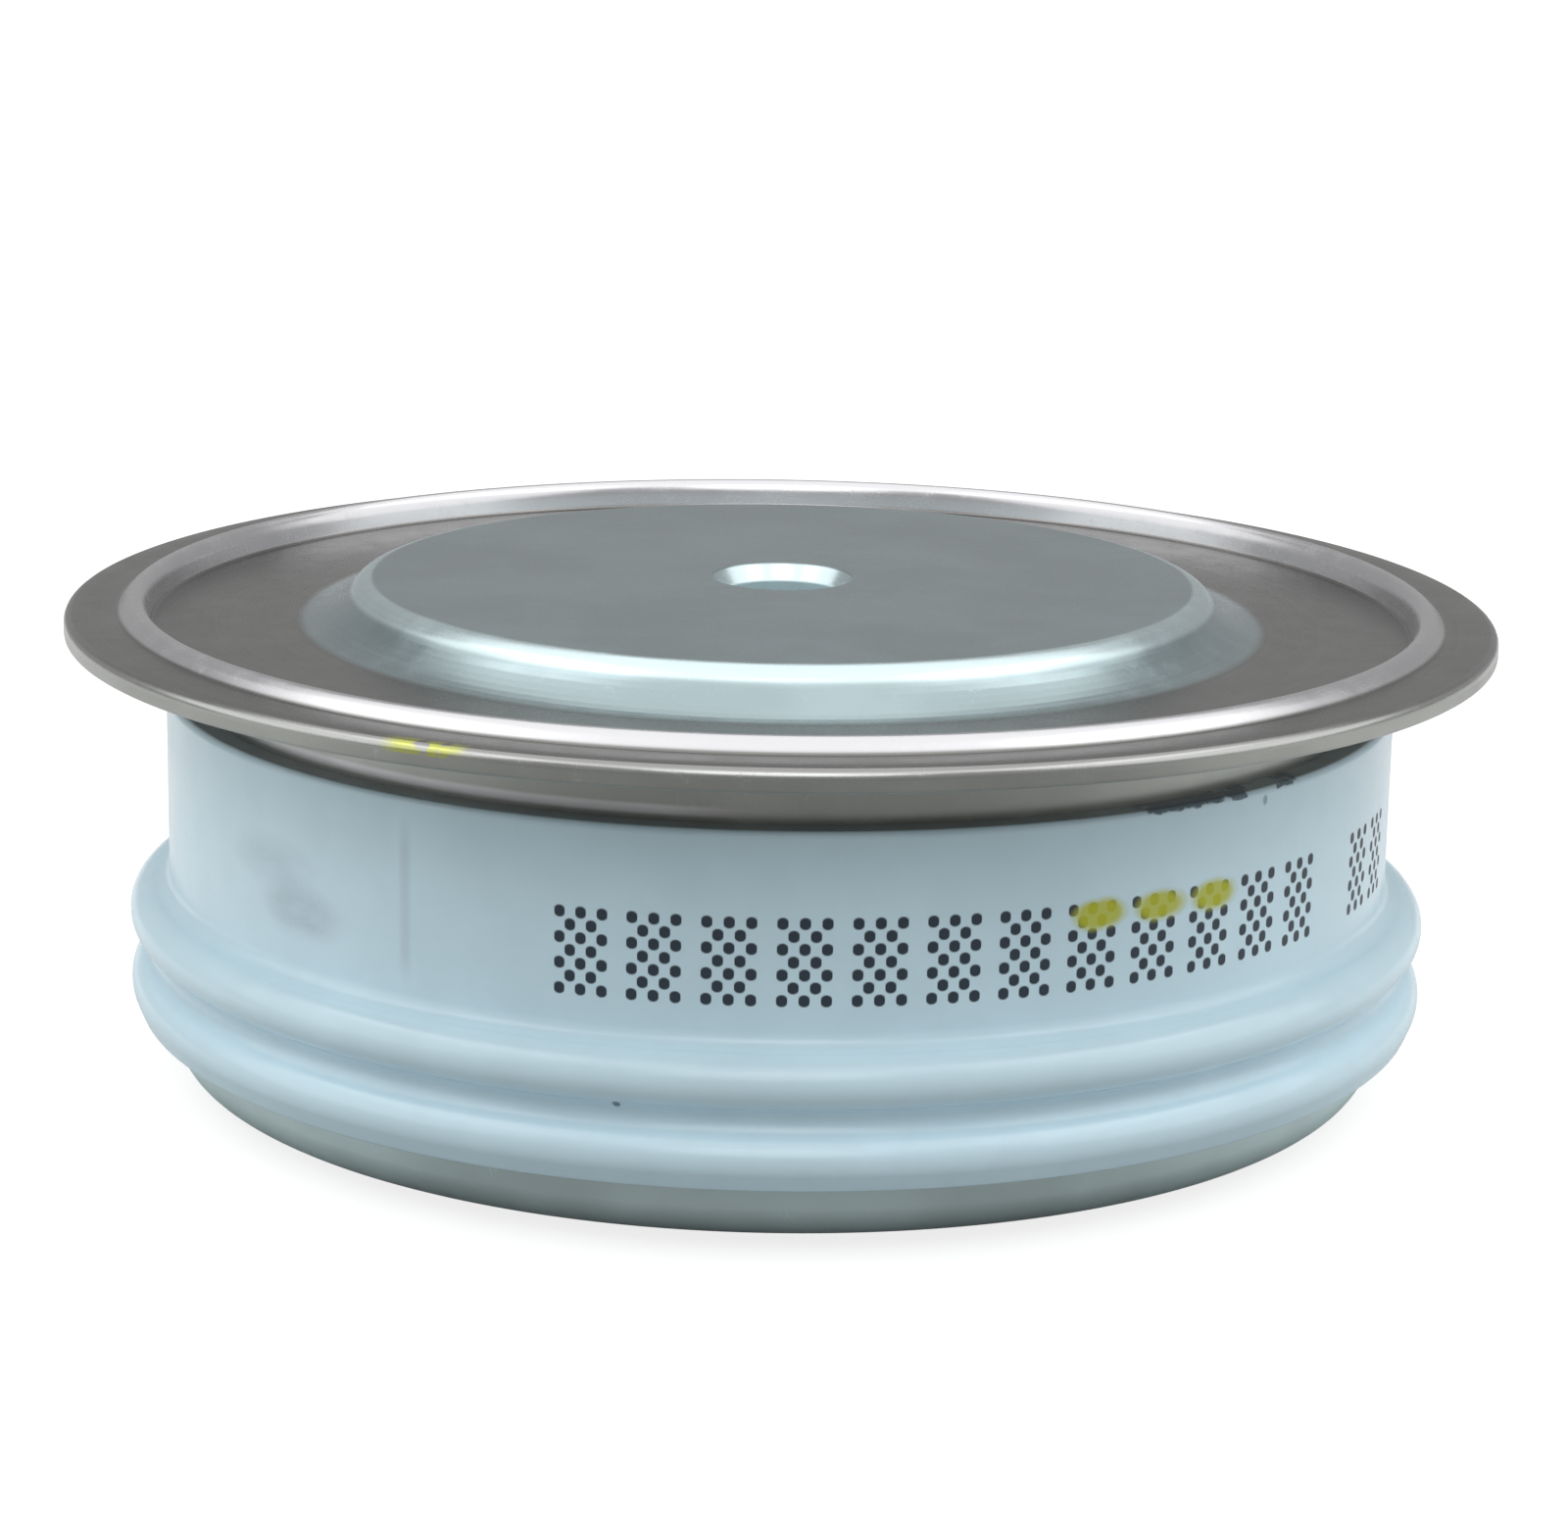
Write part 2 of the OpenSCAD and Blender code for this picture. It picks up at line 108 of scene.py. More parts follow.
class PoleSizes(bpy.types.PropertyGroup):
    """Sizes of the cathode and anode poles"""

    top: length("Cathode height", high("cathode_pole").z, "Height of the cathode contact face")
    contact: length("Contact radius", 0.01205, "Radius of the flat of both contact faces")
    cathode_edge: length("Cathode edge", 0.00075, "Edge radius of the cathode contact")
    anode_edge: length("Anode edge", 0.00025, "Edge radius of the anode contact")
    flank: length("Flank radius", 0.002, "Hollow radius of the cathode pole's flank")
    stand: length("Stand", 0.0012, "Height of the cathode contact over the lid's web")
    hole: length("Centring hole", 0.00178, "Radius of the centring holes")
    hole_depth: length("Hole depth", 0.0019, "Depth of the centring holes")
    hole_chamfer: length("Hole chamfer", 0.0003, "Reach of the chamfer at the mouth of the centring holes")
    hole_lead: length("Hole lead", 0.0005, "Depth of that chamfer")
    lead_top: length("Lead's outer edge", 0.00006, "Edge radius between that chamfer and the contact face")
    lead_foot: length("Lead's inner edge", 0.00005, "Edge radius between that chamfer and the hole's wall")
    hole_floor: length("Hole floor", 0.0001, "Rounding round the floor of the centring holes")
    body: length("Cathode body", 0.0126, "Radius of the cathode pole inside the capsule")
    nose: length("Nose", 0.0102, "Radius of the cathode pole's nose")
    nose_height: length("Nose height", 0.0021, "Height of the cathode pole's nose")
    ledge_width: length("Ledge width", 0.0011, "Width of the ledge that the lid is brazed on")
    ledge_sheet: length("Ledge thickness", 0.0008, "Thickness of that ledge")
    pocket: length("Gate pocket", 0.0024, "Radius of the gate pocket")
    pocket_depth: length("Pocket depth", 0.00375, "Depth of the gate pocket")
    anode_step: length("Anode step", 0.0008, "Height of the step that carries the molybdenum disc")
    step_edge: length("Step edge", 0.00005, "Edge radius of that step")


class SheetSizes(bpy.types.PropertyGroup):
    """Sizes of the formed sheets: lid, weld ring and anode flange"""

    rim: length("Rim radius", high("cathode_lid").x, "Radius of the welded rim")
    lid_sheet: length("Lid sheet", 0.0003, "Thickness of the lid")
    rim_drop: length("Rim drop", 0.00075, "Depth of the rim's top below the cathode contact")
    ridge_inset: length("Ridge inset", 0.002, "Distance from the rim's edge to the ridge's crest")
    ridge_height: length("Ridge height", 0.00033, "Height of the ridge over the rim")
    ridge_inner: angle("Inner slope", 80, "Slope of the ridge's inner flank")
    ridge_outer: angle("Outer slope", 45, "Slope of the ridge's outer flank")
    lid_bend: length("Lid bend", 0.0001, "Inside radius of the lid's bends")
    rim_edge: length("Rim edge", 0.00025, "Edge radius of the welded rim")
    ring_sheet: length("Weld ring sheet", 0.00035, "Thickness of the weld ring")
    ring_foot: length("Foot corner", 0.0174, "Radius at which the weld ring's collar starts")
    ring_start: length("Foot start", 0.0155, "Inner radius of the weld ring's foot")
    collar_drop: length("Collar drop", 0.0006, "Depth of the collar's top below the lid's seat")
    collar_run: length("Collar run", 0.00005, "Reach of the collar's top beyond its foot")
    ring_rim: length("Flat rim", 0.0008, "Width of the weld ring's flat rim")
    ring_bend: length("Weld ring bend", 0.00005, "Inside radius of the weld ring's bends")
    ring_edge: length("Weld ring edge", 0.00012, "Rounding of the weld ring's lower edge")
    flange: length("Flange radius", high("anode_flange").x, "Radius of the anode flange")
    flange_sheet: length("Flange sheet", 0.0005, "Thickness of the anode flange")
    flange_bend: length("Flange bend", 0.0004, "Inside radius of the anode flange's bend")
    flange_end: length("Flange end", 0.00004, "Edge radius at the top of the anode flange's skirt")


class CeramicSizes(bpy.types.PropertyGroup):
    """Sizes of the ribbed ceramic ring"""

    bore: length("Bore", 0.015, "Radius of the ceramic's bore")
    neck: length("Neck", 0.0181, "Radius of the plain neck")
    neck_edge: length("Neck edge", 0.0002, "Edge radius at the top of the neck")
    end_edge: length("End edges", 0.0001, "Edge radius at both ends of the bore and round the base")
    rib: length("Rib radius", high("ceramic_ring").x, "Radius over the ribs")
    rib_depth: length("Rib depth", 0.00065, "Depth of the groove between the ribs")
    rib_pitch: length("Rib pitch", 0.0021, "Distance from rib to rib")
    rib_base: length("Rib height", 0.00075, "Height of the lowest crest over the ceramic's base")
    crest: length("Crest", 0.00075, "Crest radius of the ribs")
    foot_slope: angle("Foot slope", 68, "Slope under the lowest rib")
    shoulder: length("Shoulder", 0.00045, "Hollow radius between the top rib and the neck")


class GateSizes(bpy.types.PropertyGroup):
    """Sizes of the gate terminal and its ferrule"""

    stem: length("Stem radius", 0.00055, "Radius of the terminal's stem in the ceramic")
    stem_edge: length("Stem edge", 0.0001, "Edge radius of the stem's end and of the pin's shoulder")
    tip_edge: length("Tip rounding", 0.00025, "Rounding of the terminal's tip")
    ferrule_edge: length("Ferrule rounding", 0.00008, "Rounding of the ferrule's edge")


class Finishes(bpy.types.PropertyGroup):
    """Colours of the metals, the glaze, the marks, the painted highlights and shade, and the hidden pieces
    """

    pole: colour("Contact nickel", (0.310, 0.385, 0.400), "Plating of the contact poles")
    # Edge of the contact poles: some wear, painted lighter as a painted highlight; it also lightens the
    # centring holes' walls
    worn_pole_and_highlight: colour("Worn contact edge", (0.560, 0.670, 0.690), "Bright edge of the contact poles")
    lid: colour("Lid nickel", (0.175, 0.172, 0.165), "Plating of the lid")
    # Lighter colour of the lid's ridge and rim edge and of the collar's foot line, a painted highlight
    lid_highlight: colour("Worn lid edges", (0.570, 0.570, 0.585), "Bright ridge and edge of the lid")
    ring: colour("Ring nickel", (0.370, 0.380, 0.360), "Plating of the weld ring")
    flange: colour("Flange nickel", (0.580, 0.700, 0.700), "Plating of the anode flange")
    glaze: colour("Glaze", (0.64, 0.84, 0.93), "Glaze of the ceramic")
    # Metallised top of the ceramic, darkened further as painted shade under the weld ring
    metallised_and_shade: colour("Metallised edge", (0.16, 0.19, 0.19), "Metallised top of the ceramic under the weld ring")
    ink: colour("Ink", (0.020, 0.035, 0.055), "Ink of the printed marks")
    marker: colour("Marker", (0.50, 0.53, 0.02), "Marker smear on the glaze and on the rim")
    smudge: colour("Smudge", (0.30, 0.34, 0.42), "Faint smudges on the glaze")
    gate: colour("Gate terminal", (0.55, 0.49, 0.33), "Plating of the gate terminal")
    silver: colour("Silver", (0.86, 0.85, 0.82), "Soft silver of the shims")
    molybdenum: colour("Molybdenum", (0.40, 0.41, 0.42), "Lapped faces of the molybdenum discs")
    silicon: colour("Silicon", (0.14, 0.17, 0.23), "Polished faces of the wafer")
    silicone: colour("Silicone", (0.56, 0.17, 0.10), "Cast rubber round the wafer's edge")
    insulator: colour("Insulator", (0.84, 0.84, 0.80), "White insulating pieces")
    gold: colour("Gold", (0.83, 0.62, 0.25), "Plating of the gate pin")
    spring: colour("Spring", (0.56, 0.57, 0.58), "Wire of the gate spring")
    silver_wire: colour("Silver wire", (0.82, 0.82, 0.80), "Wire of the gate lead")
    sleeve: colour("Sleeve", (0.80, 0.77, 0.66), "Sleeve of the gate lead")


class Studio(bpy.types.PropertyGroup):
    """Camera, floor, room and lamps"""

    lens: FloatProperty(name="Lens", description="Focal length of the camera", default=94.5, unit="CAMERA")
    distance: length("Camera distance", 0.1236, "Distance of the camera from the middle of the disc")
    aim_height: length("Aim height", 0.0075, "Height of the point that the camera is set up on")
    elevation: angle("Elevation", 14.35, "Height of the camera over the horizon")
    roll: angle("Roll", 1.02, "Roll of the camera")
    aim_right: amount("Aim across", 794.0, "Pixels from the picture's left edge to the aim point")
    aim_down: amount("Aim down", 828.1, "Pixels from the picture's top edge to the aim point")
    width: IntProperty(name="Picture width", description="Width of the picture in pixels", default=1600)
    height: IntProperty(name="Picture height", description="Height of the picture in pixels", default=1564)
    floor: colour("Floor", (0.84, 0.84, 0.84), "Colour of the floor")
    floor_shade: colour("Floor in shade", (0.36, 0.36, 0.36), "Floor before the disc as the disc sees it")
    floor_glow: amount("Floor glow", 1.35, "Brightness that lifts the floor to white for the camera")
    backdrop: amount("Backdrop", 1.0, "Brightness of the backdrop behind the disc")
    mirrored: amount("Mirrored room", 0.45, "Brightness of the room in what the pieces mirror")
    fill: amount("Fill", 0.16, "Strength of the soft light from all round")
    lamp_aim: length("Lamp aim", 0.008, "Height of the point that the lamps face")
    overhead: amount("Overhead lamp", 1.32, "Power of the wide soft lamp over the disc in watts")
    overhead_size: length("Overhead width", 0.7, "Width of the lamp over the disc")
    overhead_place: spot("Overhead place", (0.0, 0.0, 0.34), "Middle of the lamp over the disc")
    sides: amount("Side lamps", 0.64, "Power of each soft lamp at the sides in watts")
    side_size: length("Side width", 0.5, "Width of each lamp at the sides")
    side_place: spot("Side place", (0.35, -0.06, 0.24), "Middle of the right lamp. The left one mirrors it")
    front: amount("Front lamp", 0.30, "Power of the soft lamp over the camera in watts")
    front_size: length("Front width", 0.26, "Width of the lamp over the camera")
    front_place: spot("Front place", (0.0, -0.33, 0.27), "Middle of the lamp over the camera")


class ThyristorSettings(bpy.types.PropertyGroup):
    """Everything that the panel shows"""

    facets: IntProperty(
        name="Facets", description="Facets round the turned pieces", default=256, min=24, max=512
    )
    poles: PointerProperty(type=PoleSizes)
    sheets: PointerProperty(type=SheetSizes)
    ceramic: PointerProperty(type=CeramicSizes)
    gate: PointerProperty(type=GateSizes)
    finishes: PointerProperty(type=Finishes)
    studio: PointerProperty(type=Studio)


# Node trees


class Value:
    """A value that varies over a surface. Sums and products of it add their Math nodes."""

    def __init__(self, nodes, socket):
        self.nodes = nodes
        self.socket = socket

    def math(self, operation, *operands):
        return self.nodes.node("ShaderNodeMath", {"operation": operation}, dict(enumerate(operands)))

    def __add__(self, other):
        return self.math("ADD", self, other)

    def __sub__(self, other):
        return self.math("SUBTRACT", self, other)

    def __rsub__(self, other):
        return self.math("SUBTRACT", other, self)

    def __mul__(self, other):
        return self.math("MULTIPLY", self, other)

    def __truediv__(self, other):
        return self.math("DIVIDE", self, other)

    def __mod__(self, other):
        return self.math("FLOORED_MODULO", self, other)

    def __abs__(self):
        return self.math("ABSOLUTE", self)

    __radd__ = __add__

    def floor(self):
        return self.math("FLOOR", self)

    def reach(self, other):
        """Length of the slant over two sides."""
        return self.math("SQRT", self * self + other * other)

    def above(self, limit, soft):
        """1 above the limit, 0 below it, with a smooth step between."""
        return self.nodes.node(
            "ShaderNodeMapRange",
            {"interpolation_type": "SMOOTHSTEP"},
            {"Value": self, "From Min": limit - soft, "From Max": limit + soft},
        )

    def below(self, limit, soft):
        return 1 - self.above(limit, soft)

    def between(self, start, end, soft):
        return self.above(start, soft) * self.below(end, soft)

    def spread(self, least, most):
        """The value's middle range, from 0.3 to 0.7 as noise has it, stretched from least to most."""
        limits = {"From Min": 0.3, "From Max": 0.7, "To Min": least, "To Max": most}
        return self.nodes.node("ShaderNodeMapRange", {}, {"Value": self, **limits})


class Nodes:
    """A node tree that is filled through one method."""

    def __init__(self, owner):
        owner.use_nodes = True
        self.tree = owner.node_tree
        self.tree.nodes.clear()

    def node(self, kind, settings=None, inputs=None, output=0):
        """Add a node, apply its settings, then fill its sockets with values or links."""
        made = self.tree.nodes.new(kind)
        for name, setting in (settings or {}).items():
            setattr(made, name, setting)
        for key, value in (inputs or {}).items():
            if isinstance(value, Value):
                self.tree.links.new(value.socket, made.inputs[key])
            else:
                made.inputs[key].default_value = value
        return Value(self, made.outputs[output]) if len(made.outputs) else made

    def layered(self, share, under, over):
        """One shader over another, with the upper one's share."""
        return self.node("ShaderNodeMixShader", {}, {0: share, 1: under, 2: over})


class Finish(Nodes):
    """A procedural material whose patterns are laid out in millimetres on the object's own coordinates."""

    def __init__(self, name):
        self.material = bpy.data.materials.new(name)
        super().__init__(self.material)
        metres = self.node("ShaderNodeTexCoord", output="Object")
        scaled = {0: metres, "Scale": MILLIMETRES}
        self.place = self.node("ShaderNodeVectorMath", {"operation": "SCALE"}, scaled)
        axes = self.node("ShaderNodeSeparateXYZ", {}, {0: self.place}).socket.node
        self.x, self.y, self.z = (Value(self, socket) for socket in axes.outputs)
        self.radius = self.x.reach(self.y)
        self.turn = self.node("ShaderNodeMath", {"operation": "ARCTAN2"}, {0: self.x, 1: 0 - self.y})

    def noise(self, scale, detail=3.0, roughness=0.5, at=None):
        """Noise with this many blotches to the millimetre."""
        place = at or self.place
        sockets = {"Vector": place, "Scale": scale, "Detail": detail, "Roughness": roughness}
        return self.node("ShaderNodeTexNoise", {}, sockets)

    def point(self, x, y, z):
        return self.node("ShaderNodeCombineXYZ", {}, {0: x, 1: y, 2: z})

    def blend(self, factor, first, second):
        """The first colour where the factor is 0, and the second where it is 1."""
        sockets = {0: factor, 6: rgba(first), 7: rgba(second)}
        return self.node("ShaderNodeMix", {"data_type": "RGBA"}, sockets, output=2)

    def bump(self, height, millimetres, normal=None):
        """Relief of this depth, over the relief that a normal already has."""
        sockets = {"Height": height, "Distance": millimetres / MILLIMETRES, "Strength": 1.0}
        if normal:
            sockets["Normal"] = normal
        return self.node("ShaderNodeBump", {}, sockets)

    def close(self, shader):
        self.node("ShaderNodeOutputMaterial", {}, {"Surface": shader})
        return self.material

    def surface(self, **sockets):
        """Close the material with one Principled shader."""
        named = {name.replace("_", " ").title(): value for name, value in sockets.items()}
        return self.close(self.node("ShaderNodeBsdfPrincipled", {}, named))


def rgba(shade):
    return shade if isinstance(shade, Value) else (*shade, 1.0)


def shaded(shade, factor):
    return tuple(min(1.0, channel * factor) for channel in shade)


# Finishes


def plated(name, shade, rough, marks=None):
    """Satin nickel plate: cloudy tint, fine turning marks, hairline scratches and dulled patches."""
    finish = Finish(name)
    clouds = finish.noise(0.22, detail=4.0)
    patches = finish.noise(0.9, detail=3.0)
    turned = finish.point(finish.radius * 9.0, finish.turn * 0.6, finish.z * 9.0)
    rings = finish.noise(1.0, detail=2.0, at=turned)
    slant = finish.point(finish.x * 0.35 + finish.y * 3.2, finish.y * 0.3 - finish.x * 2.4, finish.z)
    hairs = finish.noise(1.0, detail=1.0, at=slant)
    scratch = hairs.between(0.495, 0.505, soft=0.004) * patches.above(0.56, soft=0.05)
    tint = finish.blend(clouds.above(0.5, soft=0.16), shaded(shade, 0.94), shaded(shade, 1.06))
    tint = finish.blend(scratch * 0.3, tint, shaded(shade, 1.5))
    dulled = 0.0
    if marks:
        tint, dulled = marks(finish, tint)
    roughness = rough + patches.spread(-0.035, 0.035) + rings.spread(-0.02, 0.02) + scratch * 0.08 + dulled
    relief = finish.bump(rings, millimetres=0.0004)
    relief = finish.bump(finish.noise(5.0, detail=2.0), millimetres=0.000875, normal=relief)
    relief = finish.bump(scratch, millimetres=-0.001, normal=relief)
    return finish.surface(base_color=tint, metallic=1.0, roughness=roughness, normal=relief)


def smooth_metal(name, shade, rough, cells=2.5):
    """Small bright metal parts: faint clouds in the tint and a fine drawn grain."""
    finish = Finish(name)
    clouds = finish.noise(cells, detail=3.0)
    tint = finish.blend(clouds.above(0.5, soft=0.15), shaded(shade, 0.90), shaded(shade, 1.05))
    roughness = rough + clouds.spread(-0.05, 0.05)
    relief = finish.bump(finish.noise(12.0, detail=2.0), millimetres=0.002)
    return finish.surface(base_color=tint, metallic=1.0, roughness=roughness, normal=relief)


def moulded(name, shade, rough, cells=1.5):
    """Plastic and rubber parts: faint mottling and a fine moulded skin."""
    finish = Finish(name)
    clouds = finish.noise(cells, detail=4.0)
    tint = finish.blend(clouds.above(0.5, soft=0.2), shaded(shade, 0.92), shaded(shade, 1.04))
    roughness = rough + clouds.spread(-0.06, 0.06)
    relief = finish.bump(finish.noise(8.0, detail=3.0), millimetres=0.006)
    return finish.surface(base_color=tint, roughness=roughness, normal=relief)


def pole_marks(poles, shades):
    """The pole's edge and its hole's mouth show wear and a painted highlight, its hole is matt with its wall
    painted lighter against its shade, and its foot is dark.
    """
    contact, top, hole, chamfer, lead = (
        size * MILLIMETRES
        for size in (poles.contact, poles.top, poles.hole, poles.hole_chamfer, poles.hole_lead)
    )
    foot = contact + 2.1  # radius beyond which the pole has the lid's tint
    # The edge has some wear and is painted lighter as a painted highlight
    edge_highlight_start, edge_highlight_depth = contact + 0.05, 0.4
    wall, mouth = hole + 0.02, hole + chamfer - 0.01
    mouth_low, mouth_high = top - lead - 0.02, top - 0.03

    def add(finish, tint):
        tint = finish.blend(finish.radius.above(foot, soft=0.18), tint, shades.lid)
        edge = finish.radius.above(edge_highlight_start, soft=0.1) * finish.z.above(top - edge_highlight_depth, soft=0.12)
        # The hole's wall is matt and painted lighter, a painted light against the shade in the hole
        inside = finish.radius.below(wall, soft=0.02)
        # The mouth's chamfer is painted bright as a painted highlight
        around = finish.radius.below(mouth, soft=0.02) * finish.z.between(mouth_low, mouth_high, soft=0.03)
        tint = finish.blend(inside, tint, shaded(shades.worn_pole_and_highlight, 0.9))
        return finish.blend((edge + around).below(0.5, soft=0.5), shades.worn_pole_and_highlight, tint), inside * 0.35

    return add


def lid_marks(poles, sheets, shades):
    """The lid's ridge, its inner slope and the rim's edge are painted lighter as a painted highlight, the
    rim's side takes the weld ring's lighter tint, and a small marker fleck lies on the rim's front.
    """
    rim, rim_top = sheets.rim * MILLIMETRES, (poles.top - sheets.rim_drop) * MILLIMETRES
    crest = rim - sheets.ridge_inset * MILLIMETRES
    ridge_inner, ridge_outer, ridge_foot = crest - 0.28, crest + 0.46, rim_top + 0.04
    slope_inner, slope_foot = crest - 0.9, rim_top - 0.38
    edge_inner, edge_foot, side = rim - 0.22, rim_top - 0.2, rim - 0.06
    fleck_turn, fleck_half, fleck_width = radians(25.3), 1.05, 0.45

    def add(finish, tint):
        across, up = finish.radius, finish.z
        # Painted highlights: the ridge's top, its inner slope and the rim's edge
        ridge = across.between(ridge_inner, ridge_outer, soft=0.14) * up.above(ridge_foot, soft=0.06)
        slope = across.between(slope_inner, crest, soft=0.05) * up.above(slope_foot, soft=0.05)
        edge = across.above(edge_inner, soft=0.08) * up.above(edge_foot, soft=0.08)
        # The rim's side takes the weld ring's lighter tint: the welded edge of both sheets, and partly
        # painted light on the side
        tint = finish.blend(across.above(side, soft=0.04), tint, shades.ring)
        tint = finish.blend((ridge + slope).above(0.5, soft=0.5), tint, shades.lid_highlight)
        tint = finish.blend(edge * 0.22, tint, shades.lid_highlight)
        along = (finish.turn + fleck_turn) * rim
        fleck = along.between(-fleck_half, fleck_half, soft=0.4) * across.above(rim - fleck_width, soft=0.15)
        fleck = fleck * finish.noise(2.2, detail=3.0).above(0.5, soft=0.05)
        return finish.blend(fleck * 0.6, tint, shades.marker), 0.0

    return add


def ring_marks(sheets, foot, shades):
    """The collar's foot gets a painted highlight on the left of the front."""
    reach = sheets.ring_foot * MILLIMETRES + 0.6
    lowest, highest = foot * MILLIMETRES + 0.16, foot * MILLIMETRES + 0.42
    left, right = -1.12, -0.10  # radians from the front

    def add(finish, tint):
        line = finish.z.between(lowest, highest, soft=0.06) * finish.turn.between(left, right, soft=0.1)
        line = line * finish.radius.below(reach, soft=0.1)
        return finish.blend(line * 0.8, tint, shades.lid_highlight), 0.0

    return add


def scuff_mark(finish, along):
    """A soft scuff of two lobes in front of the left side."""

    def lobe(across, up, width, height):
        return ((along - across) / width).reach((finish.z - up) / height)

    lower = lobe(-14.3, 7.75, width=1.9, height=0.85).below(0.75, soft=0.4)
    upper = lobe(-15.5, 8.9, width=2.2, height=0.8).below(0.7, soft=0.45)
    stretched = finish.point(along * 0.5, finish.z * 1.6, 3.0)
    blotches = finish.noise(0.9, detail=4.0, roughness=0.6, at=stretched)
    return (lower + upper * 0.6) * blotches.spread(0.35, 1.0)


def edge_chips(finish, along, edge, mottle):
    """A few dark chips of the neck's upper edge on the right, and a tick below them."""
    left, right, tick_across, tick_drop = 10.0, 16.4, 14.6, 0.32
    ragged = finish.noise(2.6, detail=4.0)
    chips = (finish.z + ragged * 0.3).above(edge + 0.05, soft=0.04) * along.between(left, right, soft=0.4)
    tick = (along - tick_across).reach((finish.z - edge + tick_drop) * 0.7).below(0.1, soft=0.05)
    return (chips * mottle.above(0.44, soft=0.05) + tick * 0.6).above(0.5, soft=0.5)


def print_fields(finish, along):
    """Fields of dots in a plain chequer: a row of twelve, and two more after a gap."""
    start, foot = -5.85, 6.92
    dot_across, dot_up, dot = 0.29, 0.345, 0.165
    columns, rows = 5.0, 7.0
    row_end, next_start, next_end = (count * PRINT_PITCH for count in (12, 13, 15))
    reach = along - start
    column = (reach % PRINT_PITCH) / dot_across
    row = (finish.z - foot) / dot_up
    dots = ((column % 1.0 - 0.5) * dot_across).reach((row % 1.0 - 0.5) * dot_up).below(dot, soft=0.03)
    chequer = ((column.floor() + row.floor()) % 2.0).below(0.5, soft=0.1)
    fields = column.below(columns, soft=0.01) * row.between(0.0, rows, soft=0.01)
    runs = reach.between(0.0, row_end, soft=0.01) + reach.between(next_start, next_end, soft=0.01)
    return dots * chequer * fields * runs


def marker_smear(finish, along, mottle):
    """Three lobes of marker across the top of the print."""
    start, end, middle = 7.85, 13.7, 8.98
    lobe_width, lobe_height = 1.02, 0.52
    lobe = (((along - start) % PRINT_PITCH) - PRINT_PITCH / 2) / lobe_width
    smear = lobe.reach((finish.z - middle) / lobe_height) + (mottle - 0.5) * 0.5
    return smear.below(0.76, soft=0.26) * along.between(start, end, soft=0.1)


def glazed_ceramic(sizes, shades, top):
    """White glaze with soft mottling, plain print fields, the marks of handling, and a dark metallised top
    that is partly painted shade.
    """
    finish = Finish("white_glaze")
    neck, edge = sizes.neck * MILLIMETRES, top * MILLIMETRES
    line_across, line_low, line_high = -10.35, 6.9, 10.7
    speck_across, speck_up = -3.95, 4.3
    along = finish.turn * neck
    clouds = finish.noise(0.14, detail=3.0)
    mottle = finish.noise(0.8, detail=4.0)
    scuff = scuff_mark(finish, along)
    line = abs(along - line_across).below(0.16, soft=0.12) * finish.z.between(line_low, line_high, soft=0.6)
    speck = (along - speck_across).reach(finish.z - speck_up).below(0.1, soft=0.04)
    # The ceramic's top under the weld ring: metallised, and darker as painted shade
    ledge = finish.z.above(edge - 0.06, soft=0.03) * finish.radius.below(neck - 0.12, soft=0.05)
    chips = edge_chips(finish, along, edge, mottle)
    ink = print_fields(finish, along)
    smear = marker_smear(finish, along, mottle)

    tint = finish.blend(clouds.above(0.5, soft=0.2), shaded(shades.glaze, 0.965), shaded(shades.glaze, 1.03))
    layers = (
        (mottle.above(0.55, soft=0.12) * 0.25, shaded(shades.glaze, 0.93)),
        (scuff * 0.55, shades.smudge),
        (line * 0.22, shades.smudge),
        (speck * 0.8, shades.ink),
        (ledge * 0.9, shades.metallised_and_shade),
        (chips * 0.8, shaded(shades.ink, 1.6)),
        (ink, shades.ink),
        (smear * 0.92, shades.marker),
    )
    for share, shade in layers:
        tint = finish.blend(share, tint, shade)

    roughness = 0.2 + mottle.spread(-0.03, 0.05) + ink * 0.25 + smear * 0.15 + scuff * 0.12 + ledge * 0.25
    relief = finish.bump(finish.noise(1.6, detail=2.0), millimetres=0.006)
    relief = finish.bump(chips, millimetres=-0.03, normal=relief)
    return finish.surface(base_color=tint, roughness=roughness, normal=relief)


# Meshes


def arc_corners(centre, height, start, end, rounding):
    """Two corners whose roundings make one arc about a centre."""
    quarter = (end - start) / 4
    reach = rounding / cos(quarter)
    turns = (start + quarter, start + 3 * quarter)
    return [(centre + reach * cos(turn), height + reach * sin(turn), rounding) for turn in turns]


def rounded_outline(corners, closed=True):
    """A section in the XZ plane from corners of radius, height and rounding."""
    mesh = bmesh.new()
    made = [mesh.verts.new((across, 0, up)) for across, up, _ in corners]
    if closed:
        mesh.faces.new(made)
    else:
        for first, second in zip(made, made[1:]):
            mesh.edges.new((first, second))
    for vert, (_, _, rounding) in zip(made, corners):
        if rounding:
            sides = [(edge.other_vert(vert).co - vert.co).normalized() for edge in vert.link_edges]
            opening = sides[0].angle(sides[1])
            bmesh.ops.bevel(
                mesh,
                geom=[vert],
                offset=rounding / tan(opening / 2),
                offset_type="OFFSET",
                segments=max(3, ceil((pi - opening) / ARC_STEP)),
                profile=0.5,
                affect="VERTICES",
                material=-1,
                clamp_overlap=False,
            )
    if closed:
        bmesh.ops.delete(mesh, geom=mesh.faces[:], context="FACES_ONLY")
    bmesh.ops.remove_doubles(mesh, verts=mesh.verts, dist=SAME_POINT)
    return mesh


